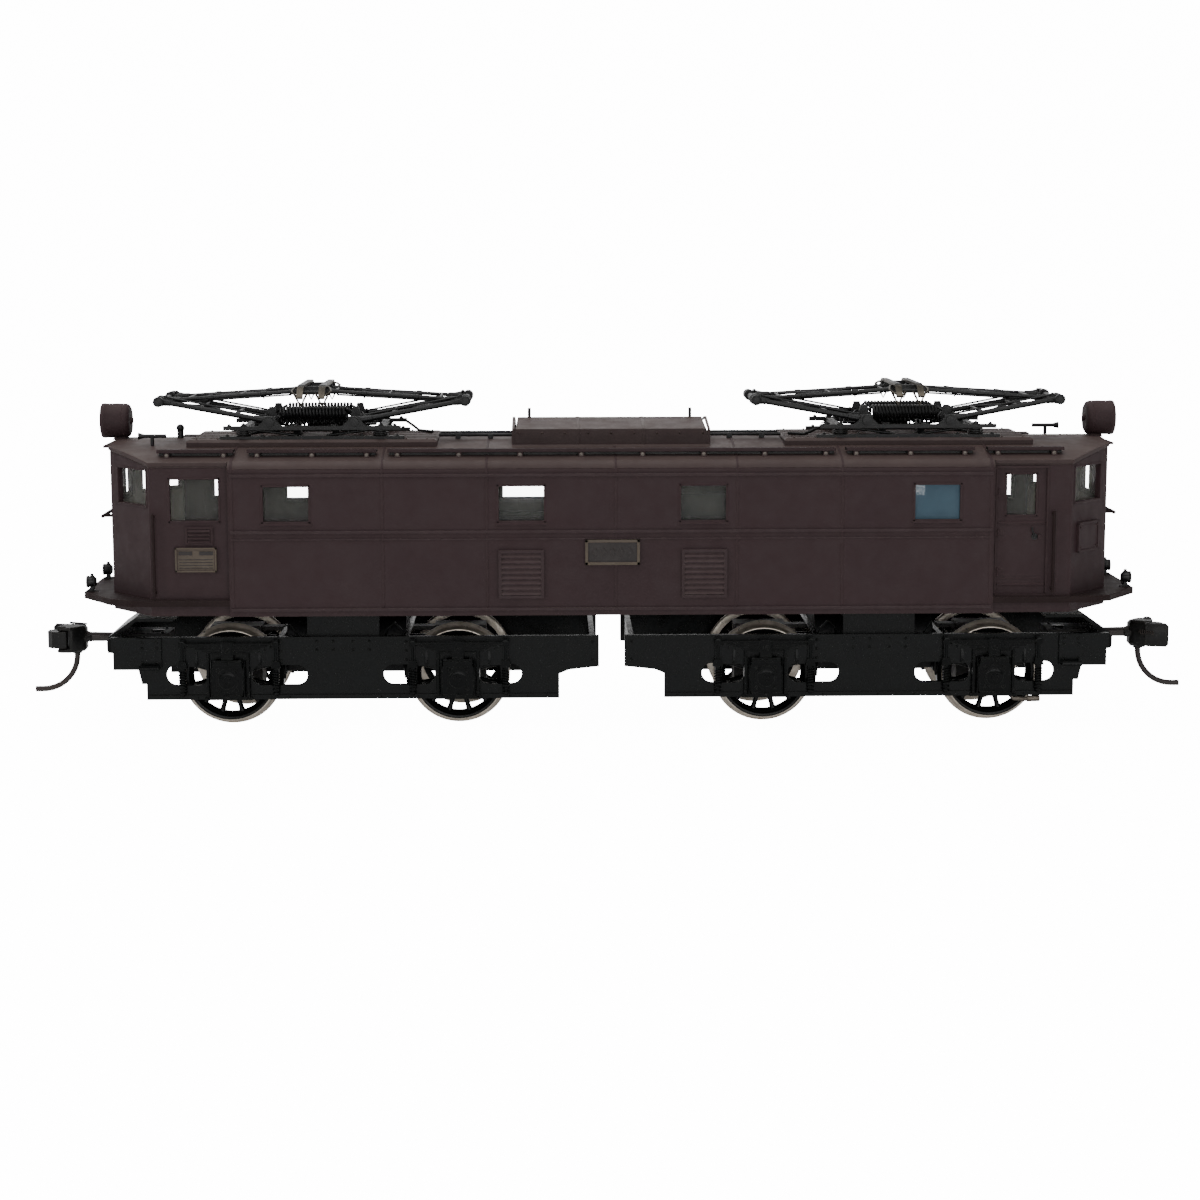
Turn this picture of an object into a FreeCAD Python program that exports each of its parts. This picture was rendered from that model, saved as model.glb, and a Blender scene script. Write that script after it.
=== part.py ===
"""Model electric locomotive, about 1/80 scale, for 16.5 mm gauge track.

A box-cab body with an arched roof and two folded diamond pantographs rides on two motor bogies.
Units are millimetres: X runs along the locomotive, Y across it and Z up from the wheel flanges.
Every part at the -X end is the +X part turned half a turn about Z.
"""
import FreeCAD, Part, Sketcher
import math
import os

os.makedirs("parts", exist_ok=True)
doc = FreeCAD.newDocument("locomotive")
V = FreeCAD.Vector
ROT = FreeCAD.Rotation

# ---------------------------------------------------------------- driving dimensions
DIMENSIONS = {
    # track and wheels
    "bogie_x": 41.0, "wheelbase": 35.0, "axle_z": 7.85, "tread_rad": 7.15, "flange_rad": 7.85,
    "wheel_back": 7.25, "wheel_face": 10.1, "axle_rad": 1.0, "journal_rad": 0.75, "journal_end": 13.2,
    "tyre_bore": 6.22, "hub_rad": 2.2, "spoke_wide": 0.8,
    # worm drive
    "worm_z": 11.85, "shaft_rad": 0.75, "worm_core": 1.15, "worm_tip": 1.96, "worm_half": 3.2,
    "gear_root": 1.92, "gear_tip": 2.76, "gear_half": 0.75, "run_gap": 0.05,
    # car body
    "side_y": 17.24, "side_x": 57.4, "cab_y": 16.4, "cab_x": 69.2, "front_x": 76.3, "front_y": 8.0,
    "sole_z": 18.1, "roof_z": 43.6, "arch_rad": 59.8, "wall": 0.8, "roof_gap": 0.05, "roll_rad": 2.0,
    "window_low": 32.4, "window_high": 37.6, "window_wide": 6.74, "window_outer": 48.8,
    "window_inner": 13.65, "corner_low": 34.7, "corner_high": 40.0,
    "belt_z": 30.8, "eave_z": 39.3, "rib_z": 19.1, "deck_low": 19.65, "deck_high": 20.6,
    "deck_x": 80.9, "floor_low": 18.3, "floor_high": 19.3,
    # bogie
    "frame_in": 11.5, "frame_out": 12.4, "frame_top": 14.2, "frame_low": 4.55,
    "kingpin_rad": 1.5, "bolster_low": 16.6, "bolster_high": 17.6,
    # coupler
    "coupler_x": 71.0, "coupler_z": 12.25, "knuckle_x": 85.7, "knuckle_y": 2.0,
    # pantograph
    "panto_x": 45.5, "foot_x": 6.4, "foot_z": 46.6, "knee_x": 23.3, "knee_z": 49.7,
    "crown_x": 1.65, "crown_z": 51.1, "shoe_z": 51.8, "tube_rad": 0.42,
}
WORM_TURNS = 4.5
GEAR_TEETH = 12
GEAR_MODULE = 0.4
SPOKES = 12
SLATS = 8

sheet = doc.addObject("Spreadsheet::Sheet", "dims")
for row, (alias, number) in enumerate(DIMENSIONS.items(), 1):
    sheet.set(f"A{row}", alias)
    sheet.set(f"B{row}", str(number))
    sheet.setAlias(f"B{row}", alias)
doc.recompute()


class Dim:
    """A length that keeps the spreadsheet expression it was worked out from."""

    def __init__(self, value, text):
        self.value, self.text = value, text

    def _join(self, other, sign, value):
        return Dim(value, f"({self.text} {sign} {as_dim(other).text})")

    def __add__(self, other):
        return self._join(other, "+", self.value + as_dim(other).value)

    def __sub__(self, other):
        return self._join(other, "-", self.value - as_dim(other).value)

    def __mul__(self, other):
        return self._join(other, "*", self.value * as_dim(other).value)

    def __radd__(self, other):
        return as_dim(other) + self

    def __rsub__(self, other):
        return as_dim(other) - self

    def __rmul__(self, other):
        return as_dim(other) * self

    def __neg__(self):
        return Dim(-self.value, f"(0 - {self.text})")


def as_dim(number):
    if isinstance(number, Dim):
        return number
    number = round(float(number), 6)
    return Dim(number, str(number) if number >= 0 else f"(0 - {-number})")


D = {alias: Dim(number, f"dims.{alias}") for alias, number in DIMENSIONS.items()}
half_wheelbase = D["wheelbase"] * 0.5
axle_in, axle_out = D["bogie_x"] - half_wheelbase, D["bogie_x"] + half_wheelbase


# ---------------------------------------------------------------- building blocks
def drive(obj, **values):
    """Bind properties of an object to their expressions; at=(x, y, z) binds its position."""
    at = values.pop("at", None)
    for name, number in values.items():
        obj.setExpression(name, as_dim(number).text)
    if at is not None:
        for axis, number in zip("xyz", at):
            obj.setExpression(f"Placement.Base.{axis}", as_dim(number).text)
    return obj


def box(x, y, z, turn=0.0, name="box"):
    """A block between (low, high) pairs; turn is its angle about Z round its own middle."""
    obj = doc.addObject("Part::Box", name)
    (x0, x1), (y0, y1), (z0, z1) = [[as_dim(v) for v in pair] for pair in (x, y, z)]
    drive(obj, Length=x1 - x0, Width=y1 - y0, Height=z1 - z0)
    if turn:
        swing = ROT(V(0, 0, 1), turn)
        half = swing.multVec(V((x1.value - x0.value) / 2, (y1.value - y0.value) / 2, 0))
        obj.Placement.Rotation = swing
        return drive(obj, at=((x0 + x1) * 0.5 - half.x, (y0 + y1) * 0.5 - half.y, z0))
    return drive(obj, at=(x0, y0, z0))


def between(s, low, high):
    """The (low, high) pair on the side given by the sign s."""
    low, high = as_dim(low), as_dim(high)
    return (low, high) if s > 0 else (-high, -low)


AIMS = {"x": ROT(V(0, 1, 0), 90), "y": ROT(V(1, 0, 0), -90), "z": ROT()}


def rod(axis, start, length, radius, name="rod", tip=None):
    """A round bar from start along +axis; tip makes it a cone with that end radius."""
    kind = "Part::Cylinder" if tip is None else "Part::Cone"
    obj = doc.addObject(kind, name)
    obj.Placement.Rotation = AIMS[axis]
    if tip is None:
        drive(obj, Radius=radius)
    else:
        drive(obj, Radius1=radius, Radius2=tip)
    return drive(obj, Height=length, at=start)


def ball(centre, radius, name="ball"):
    return drive(doc.addObject("Part::Sphere", name), Radius=radius, at=centre)


def strut(a, b, radius, name="strut"):
    """A round tube between two points given as plain numbers or dimensions."""
    a, b = [as_dim(v) for v in a], [as_dim(v) for v in b]
    run = V(*(q.value - p.value for p, q in zip(a, b)))
    obj = doc.addObject("Part::Cylinder", name)
    obj.Placement.Rotation = ROT(V(0, 0, 1), run)
    span = " + ".join(f"({q.text} - {p.text})^2" for p, q in zip(a, b))
    obj.setExpression("Height", f"sqrt({span})")
    return drive(obj, Radius=radius, at=a)


def fuse(parts, name="fused"):
    parts = list(parts)
    if len(parts) == 1:
        return parts[0]
    obj = doc.addObject("Part::MultiFuse", name)
    obj.Shapes = parts
    return obj


def cut(base, tools, name="cut"):
    obj = doc.addObject("Part::Cut", name)
    obj.Base, obj.Tool = base, fuse(tools, name + "_tools")
    return obj


def common(parts, name="common"):
    obj = doc.addObject("Part::MultiCommon", name)
    obj.Shapes = list(parts)
    return obj


def group(parts, name="group"):
    obj = doc.addObject("Part::Compound", name)
    obj.Links = list(parts)
    return obj


def turned(source, name="turned"):
    """The same part at the other end: half a turn about Z."""
    obj = group([source], name)
    obj.Placement.Rotation = ROT(V(0, 0, 1), 180)
    return obj


def across(source, name="mirrored"):
    """The same part on the other side, mirrored in Y."""
    obj = doc.addObject("Part::Mirroring", name)
    obj.Source, obj.Normal, obj.Base = source, V(0, 1, 0), V(0, 0, 0)
    return obj


PLANES = {"z": "XY_Plane", "y": "XZ_Plane", "x": "YZ_Plane"}


def outline(body, axis, points, offset, name):
    """A closed sketch of straight lines on one of the body's planes, every corner dimensioned."""
    sketch = body.newObject("Sketcher::SketchObject", name)
    plane = next(o for o in body.Origin.OriginFeatures if o.Role == PLANES[axis])
    sketch.AttachmentSupport = [(plane, "")]
    sketch.MapMode = "FlatFace"
    sketch.setExpression("AttachmentOffset.Base.z", as_dim(offset).text)
    corners = [[as_dim(v) for v in point] for point in points]
    count = len(corners)
    for i, (u, v) in enumerate(corners):
        s, t = corners[(i + 1) % count]
        sketch.addGeometry(Part.LineSegment(V(u.value, v.value, 0), V(s.value, t.value, 0)), False)
    for i in range(count):
        sketch.addConstraint(Sketcher.Constraint("Coincident", i, 2, (i + 1) % count, 1))
    for i, corner in enumerate(corners):
        for kind, number in zip(("DistanceX", "DistanceY"), corner):
            index = sketch.addConstraint(Sketcher.Constraint(kind, -1, 1, i, 1, number.value))
            if "dims." in number.text:
                sketch.setExpression(f"Constraints[{index}]", number.text)
    return sketch


def slab(axis, points, low, high, name="slab"):
    """A straight-sided plate: the outline in the plane across axis, padded from low to high."""
    body = doc.addObject("PartDesign::Body", name)
    low, high = as_dim(low), as_dim(high)
    sketch = outline(body, axis, points, -high if axis == "y" else low, name + "_outline")
    pad = body.newObject("PartDesign::Pad", name + "_pad")
    pad.Profile = sketch
    pad.setExpression("Length", (high - low).text)
    sketch.Visibility = False
    body.Tip = pad
    return body


def spun(points, name="spun"):
    """A turned part about the Y axis: points are (y, radius)."""
    body = doc.addObject("PartDesign::Body", name)
    sketch = outline(body, "x", points, 0, name + "_profile")
    turn = body.newObject("PartDesign::Revolution", name + "_turn")
    turn.Profile = sketch
    turn.ReferenceAxis = (sketch, ["H_Axis"])
    turn.Angle = 360
    body.Tip = turn
    return body


nodes = []


def node(label, obj):
    """Name a finished sub-part; the label is its file name."""
    obj.Label = label
    nodes.append(obj)
    return obj


# ---------------------------------------------------------------- car body
def plan(inset=0.0):
    """The body's plan, moved inwards by inset: straight sides, narrower cabs and faceted ends."""
    edge, cab = D["side_y"] - inset, D["cab_y"] - inset
    step = D["side_x"] - inset
    lean = inset * 0.45
    quarter = [(step, edge), (step, cab), (D["cab_x"] - lean, cab),
               (D["front_x"] - inset, D["front_y"] - lean)]
    ring = [(x, -y) for x, y in quarter]
    ring += [(x, y) for x, y in reversed(quarter)]
    ring += [(-x, y) for x, y in quarter]
    ring += [(-x, -y) for x, y in reversed(quarter)]
    return ring


def arch(radius, name="arch"):
    """The solid cylinder under a roof curve of the given radius."""
    return rod("x", (-90, 0, D["roof_z"] - D["arch_rad"]), 180, radius, name)


corner_run = math.hypot(7.1, 8.4)
corner_turn = math.degrees(math.atan2(8.4, 7.1))
CORNERS = [(sx, sy) for sx in (1, -1) for sy in (1, -1)]


def on_corner(sx, sy, wide, low, high, depth, out=0.0):
    """A block on a slanted corner panel; depth is its thickness and out its shift outwards."""
    mid_x = 0.5 * (D["cab_x"] + D["front_x"]) - 0.45
    mid_y = 0.5 * (D["cab_y"] + D["front_y"]) + 0.45 * 8.4 / 7.1
    normal = V(8.4 / corner_run, 7.1 / corner_run, 0)
    cx, cy = mid_x + normal.x * out, mid_y + normal.y * out
    return box((cx * sx - wide / 2, cx * sx + wide / 2), (cy * sy - depth / 2, cy * sy + depth / 2),
               (low, high), turn=-sx * sy * corner_turn, name="corner_block")


window_x = [s * D[k] for s in (1, -1) for k in ("window_outer", "window_inner")]
pane_low, pane_high = D["window_low"], D["window_high"]
half_window = D["window_wide"] * 0.5

prism = slab("z", plan(), D["sole_z"], D["roof_z"] + 1, "shell_outer")
room = slab("z", plan(0.8), D["sole_z"] - 1, D["roof_z"] + 2, "shell_inner")
under_roof = arch(D["arch_rad"] - D["wall"] - D["roof_gap"], "shell_top")
openings = [box((x - half_window, x + half_window), (-20, 20), (pane_low, pane_high), name="side_window")
            for x in window_x]
DOOR = (57.9, 65.5, 20.9, 40.0)
CAB_WINDOW = (58.9, 66.1, 32.5, 38.7)
for s in (1, -1):
    openings.append(box(sorted((s * DOOR[0], s * DOOR[1])), sorted((-s * 14.0, -s * 18.0)),
                        (DOOR[2], DOOR[3]), name="door_opening"))
    openings.append(box(sorted((-s * CAB_WINDOW[0], -s * CAB_WINDOW[1])), sorted((-s * 14.0, -s * 18.0)),
                        (CAB_WINDOW[2], CAB_WINDOW[3]), name="cab_window"))
    for y in (3.9, -3.9):
        openings.append(box(sorted((s * 74.0, s * 78.0)), (y - 2.8, y + 2.8),
                            (D["corner_low"], D["corner_high"]), name="front_window"))
openings += [on_corner(sx, sy, 8.0, D["corner_low"], D["corner_high"], 3.0) for sx, sy in CORNERS]
roll_y = D["side_y"] - D["roll_rad"]
arch_z = D["roof_z"].value - D["arch_rad"].value
roll_z = arch_z + math.sqrt((D["arch_rad"].value - D["roll_rad"].value) ** 2 - roll_y.value ** 2)


def shoulder(s):
    """What is cut away where one side of the main body rolls over into the roof."""
    y0, y1 = roll_y.value, D["side_y"].value + 1
    top = roll_z + 1.3 * (roll_z - arch_z) / y0
    corner = slab("x", [(s * y0, roll_z), (s * (y0 + 1.3), top), (s * y1, top), (s * y1, roll_z)],
                  -D["side_x"].value, D["side_x"].value, "shoulder_block")
    return cut(corner, [rod("x", (-60, roll_y * s, roll_z), 120, D["roll_rad"] + 0.03, "shoulder_roll")], "shoulder")


shoulders = [shoulder(1), shoulder(-1)]
walls = cut(common([prism, under_roof], "shell_solid"), [room] + openings + shoulders, "shell_walls")
node("body_shell", walls)

roof_plan = slab("z", plan(), D["eave_z"] - 2, D["roof_z"] + 1, "roof_plan")
skin = cut(arch(D["arch_rad"], "roof_outer"), [arch(D["arch_rad"] - D["wall"], "roof_inner")], "roof_skin")
node("roof", cut(common([roof_plan, skin], "roof_sheet"), shoulders, "roof_rolled"))

strips = []
for s in (1, -1):
    face = D["side_y"]
    for z, tall, stand in ((D["belt_z"], 0.4, 0.25), (D["eave_z"], 0.4, 0.25), (D["rib_z"], 0.4, 0.25),
                           (D["belt_z"] - 1.1, 0.2, 0.12)):
        strips.append(box((-D["side_x"] + 0.3, D["side_x"] - 0.3),
                          between(s, face, face + stand),
                          (z - tall / 2, z + tall / 2), name="strip"))
node("beading", group(strips, "beading_strips"))


def louvre(x, s):
    """A framed ventilator with sloping slats on one body side."""
    face = D["side_y"]
    frame = cut(box((x - 3.4, x + 3.4), between(s, face, face + 0.45), (20.75, 28.0), name="louvre_frame"),
                [box((x - 3.0, x + 3.0), between(s, face + 0.15, face + 1), (21.15, 27.6), name="louvre_recess")],
                "louvre_tray")
    pitch = 6.45 / SLATS
    slats = []
    for i in range(SLATS):
        low = 21.15 + i * pitch
        slats.append(slab("x", [(s * (face + 0.12), low), (s * (face + 0.42), low + 0.08),
                                (s * (face + 0.42), low + 0.2), (s * (face + 0.12), low + 0.62)],
                          x - 3.02, x + 3.02, "slat"))
    return fuse([frame] + slats, "louvre")


node("louvres", group([louvre(x, s) for x in (-13.7, 13.8) for s in (1, -1)], "louvre_set"))


def framed_plate(x, z, s, face, thick=0.4, border=0.45):
    """A cast plate with a raised border and a blank field."""
    (x0, x1), (z0, z1) = x, z
    return cut(box((x0, x1), between(s, face, face + thick), (z0, z1), name="plate"),
               [box((x0 + border, x1 - border), between(s, face + thick * 0.5, face + 2),
                    (z0 + border, z1 - border), name="plate_field")], "framed_plate")


plates = [framed_plate((-4.1, 4.1), (25.75, 29.57), s, D["side_y"]) for s in (1, -1)]
for s in (1, -1):
    plates.append(framed_plate(sorted((-s * 65.5, -s * 59.3)), (24.8, 28.5), -s, D["cab_y"], 0.35, 0.35))
    plates.append(framed_plate(sorted((-s * 63.9, -s * 59.8)), (28.9, 31.6), -s, D["cab_y"], 0.3, 0.3))
    plates.append(on_corner(s, -s, 6.4, 27.0, 31.5, 0.35, 0.175))
node("plates", group(plates, "plate_set"))

doors = []
for s in (1, -1):
    leaf = box(sorted((s * DOOR[0], s * DOOR[1])), between(-s, D["cab_y"] - 0.8, D["cab_y"] - 0.3),
               (DOOR[2], DOOR[3]), name="door_leaf")
    light = box(sorted((s * 59.4, s * 63.8)), between(-s, 14, 18), (32.9, 39.0), name="door_light")
    knob = rod("y", (s * 64.4, -s * 16.1 - (0.6 if s > 0 else 0.0), 29.6), 0.6, 0.28, "door_knob")
    panels = [box(sorted((s * 58.6, s * 64.8)), between(-s, D["cab_y"] - 0.35, D["cab_y"] - 0.18),
                  (z - 0.12, z + 0.12), name="door_rail") for z in (22.3, 23.3, 31.6)]
    doors.append(fuse([cut(leaf, [light], "door_sheet"), knob] + panels, "door"))
node("cab_doors", group(doors, "door_pair"))


def upright_rail(x, s, low, high):
    """A vertical grab rail on two stand-offs."""
    y = s * (D["cab_y"] + 0.85)
    feet = [rod("y", (x, s * D["cab_y"] - (0.85 if s < 0 else 0.0), z), 0.85, 0.22, "rail_foot")
            for z in (low + 0.5, high - 0.5)]
    return fuse([rod("z", (x, y, low), high - low, 0.25, "rail")] + feet, "grab_rail")


rails = []
for s in (1, -1):
    rails.append(upright_rail(-s * 68.6, -s, 21.2, 33.6))
    rails.append(upright_rail(s * 66.4, -s, 21.2, 33.6))
    bar_x = s * 78.2
    feet = [rod("x", (min(s * 76.3, bar_x), y, 32.0), 1.9, 0.24, "rail_foot") for y in (-4.2, 4.2)]
    rails.append(fuse([rod("y", (bar_x, -5.2, 32.0), 10.4, 0.28, "rail")] + feet, "front_rail"))
node("handrails", group(rails, "rail_set"))

visors = [box(sorted((s * 76.3, s * 77.9)), (-4.8, 4.8), (42.5, 42.85), name="visor") for s in (1, -1)]
node("front_visors", group(visors, "visor_pair"))

panes = []
inner = D["side_y"] - D["wall"]
for x in window_x:
    for s in (1, -1):
        panes.append(box((x - half_window - 0.7, x + half_window + 0.7), between(s, inner - 0.3, inner),
                         (pane_low - 0.7, pane_high + 0.7), name="side_pane"))
inner = D["cab_y"] - D["wall"]
for s in (1, -1):
    panes.append(box(sorted((-s * 58.3, -s * 66.7)), between(-s, inner - 0.3, inner), (31.9, 39.3),
                     name="cab_pane"))
    panes.append(box(sorted((s * 58.8, s * 64.4)), between(-s, inner - 0.3, inner), (32.3, 39.6),
                     name="door_pane"))
    panes.append(box(sorted((s * 75.2, s * 75.5)), (-7.0, 7.0), (34.1, 40.6), name="front_pane"))
panes += [on_corner(sx, sy, 8.6, 34.1, 40.3, 0.3, -0.99) for sx, sy in CORNERS]
node("glazing", group(panes, "pane_set"))
x = D["window_outer"]
node("blue_pane", box((x - half_window + 0.02, x + half_window - 0.02),
                      between(-1, D["side_y"] - D["wall"], D["side_y"] - D["wall"] + 0.35),
                      (pane_low + 0.02, pane_high - 0.02), name="tinted_pane"))

cans, lenses = [], []
for s in (1, -1):
    can = rod("x", (min(s * 74.3, s * 78.75), 0, 46.35), 4.45, 2.65, "lamp_can")
    mouth = rod("x", (min(s * 77.65, s * 78.85), 0, 46.35), 1.2, 2.3, "lamp_mouth")
    foot = box(sorted((s * 74.6, s * 76.2)), (-1.1, 1.1), (D["roof_z"], 44.6), name="lamp_foot")
    cans.append(fuse([cut(can, [mouth], "lamp_shell"), foot], "headlight"))
    lenses.append(rod("x", (min(s * 77.9, s * 78.4), 0, 46.35), 0.5, 2.29, "lamp_lens"))
node("headlights", group(cans, "headlight_pair"))
node("headlight_lenses", group(lenses, "lens_pair"))

seat = arch(D["arch_rad"] + 0.01, "roof_seat")
hood = common([slab("y", [(-15.2, 42.0), (15.2, 42.0), (14.2, 47.2), (-14.2, 47.2)], -9, 9, "hood_length"),
               slab("x", [(-9, 42.0), (9, 42.0), (9, 45.5), (0, 46.7), (-9, 45.5)], -16, 16, "hood_width")],
              "hood_block")
node("roof_monitor", cut(hood, [seat], "hood"))

WALKS = [(56.7, 68.2, 2), (35.3, 54.7, 3), (-33.7, 33.7, 8), (-54.7, -35.3, 3), (-68.2, -56.7, 2)]
walks = []
for x0, x1, props in WALKS:
    for s in (1, -1):
        board = box((x0, x1), between(s, 12.6, 14.6), (42.55, 42.95), name="walk_board")
        feet = [box((c - 0.5, c + 0.5), between(s, 12.9, 14.3), (41.0, 42.7), name="walk_foot")
                for c in [x0 + 1.5 + (x1 - x0 - 3.0) * i / (props - 1) for i in range(props)]]
        walks.append(cut(fuse([board] + feet, "walk_raw"), [arch(D["arch_rad"] + 0.01, "walk_seat")], "walkway"))
node("walkways", group(walks, "walkway_set"))

boards = []
for s in (1, -1):
    x = s * D["panto_x"]
    raw = common([slab("y", [(x - 19.0, 42.0), (x + 19.0, 42.0), (x + 19.0, 43.75), (x + 18.6, 44.0),
                             (x - 18.6, 44.0), (x - 19.0, 43.75)], -9.2, 9.2, "board_length"),
                  slab("x", [(-9.2, 42.0), (9.2, 42.0), (9.2, 43.6), (8.8, 44.0), (-8.8, 44.0), (-9.2, 43.6)],
                       x - 20, x + 20, "board_width")], "board_raw")
    boards.append(cut(raw, [arch(D["arch_rad"] + 0.01, "board_seat")], "board"))
node("panto_boards", group(boards, "board_pair"))

fittings = []
for s in (1, -1):
    x = s * 69.8
    stem = rod("z", (x, s * 8.0, 43.07), 1.43, 0.28, "horn_stem")
    horn = rod("x", (x - 2.1, s * 8.0, 44.55), 4.2, 0.3, "horn_bar")
    bell = rod("x", (x + s * 2.1 - (0.9 if s > 0 else 0.0), s * 8.0, 44.55), 0.9,
               0.3 if s > 0 else 0.55, "horn_bell", tip=0.55 if s > 0 else 0.3)
    fittings.append(fuse([stem, horn, bell], "horn"))
    for y in (-2.5, 2.5):
        fittings.append(fuse([rod("x", (15.0 if s > 0 else -26.45, y, 44.15), 11.45, 0.25, "conduit")]
                             + [box((s * c - 0.4, s * c + 0.4), (y - 0.5, y + 0.5), (43.58, 44.2), name="clip")
                                for c in (18.5, 23.5)], "conduit_run"))
    fittings.append(rod("z", (s * 12.5, 0, 46.65), 1.45, 0.25, "lifting_pin"))
fittings.append(fuse([rod("z", (-66.7, 0, D["roof_z"]), 1.55, 0.5, "whistle_body"),
                      ball((-66.7, 0, 45.15), 0.62, "whistle_cap")], "whistle"))
node("roof_fittings", group(fittings, "fitting_set"))

edge = D["side_y"]
deck_plan = [(D["side_x"], -edge), (72.4, -edge), (75.6, -15.4), (D["deck_x"], -7.8),
             (D["deck_x"], 7.8), (75.6, 15.4), (72.4, edge), (D["side_x"], edge)]
collar = cut(slab("z", deck_plan, D["deck_low"], D["deck_high"], "deck_plate"),
             [slab("z", plan(), D["deck_low"] - 1, D["deck_high"] + 1, "deck_hole")], "deck")
node("end_decks", group([collar, turned(collar, "deck_other_end")], "deck_pair"))

lamps = []
for sx, sy in CORNERS:
    x, y = sx * 79.9, sy * 7.0
    can = rod("x", (x - 0.75, y, 22.1), 1.5, 0.85, "marker_can")
    lamps.append(fuse([can, box((x - 0.35, x + 0.35), (y - 0.35, y + 0.35), (D["deck_high"], 21.6), name="stem"),
                       box((x - 0.6, x + 0.6), (y - 0.6, y + 0.6), (D["deck_high"], D["deck_high"] + 0.25),
                           name="marker_foot")], "marker"))
node("marker_lamps", group(lamps, "marker_set"))

# ---------------------------------------------------------------- underframe and ballast
sheet_plan = [(-68.0, -15.55), (68.0, -15.55), (68.0, 15.55), (-68.0, 15.55)]
floor = slab("z", sheet_plan, D["floor_low"], D["floor_high"], "floor_sheet")
pads, holes = [], []
for s in (1, -1):
    x = s * D["bogie_x"]
    pads.append(rod("z", (x, 0, D["bolster_high"] + 0.05), D["floor_low"] - D["bolster_high"] + 0.15, 4.0,
                    "centre_pad"))
    holes.append(rod("z", (x, 0, 15), 6, D["kingpin_rad"], "pin_hole"))
node("floor_plate", cut(fuse([floor] + pads, "floor_raw"), holes, "floor"))

pins = []
for s in (1, -1):
    x = s * D["bogie_x"]
    pins.append(fuse([rod("z", (x, 0, 16.27), D["floor_high"] - 16.27 + 0.1, D["kingpin_rad"] - 0.01, "pin"),
                      rod("z", (x, 0, D["floor_high"]), 0.8, 2.8, "pin_head"),
                      rod("z", (x, 0, 16.27), 0.28, 2.4, "pin_clip")], "kingpin"))
node("kingpins", group(pins, "kingpin_pair"))

blocks = [box((7.0, 35.0), (-9.5, 9.5), (D["floor_high"], 35.6), name="ballast_tall"),
          box((-35.0, -7.0), (-9.5, 9.5), (D["floor_high"], 33.0), name="ballast_low")]
node("ballast", group([fuse([b], "ballast") for b in blocks], "ballast_pair"))


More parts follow.
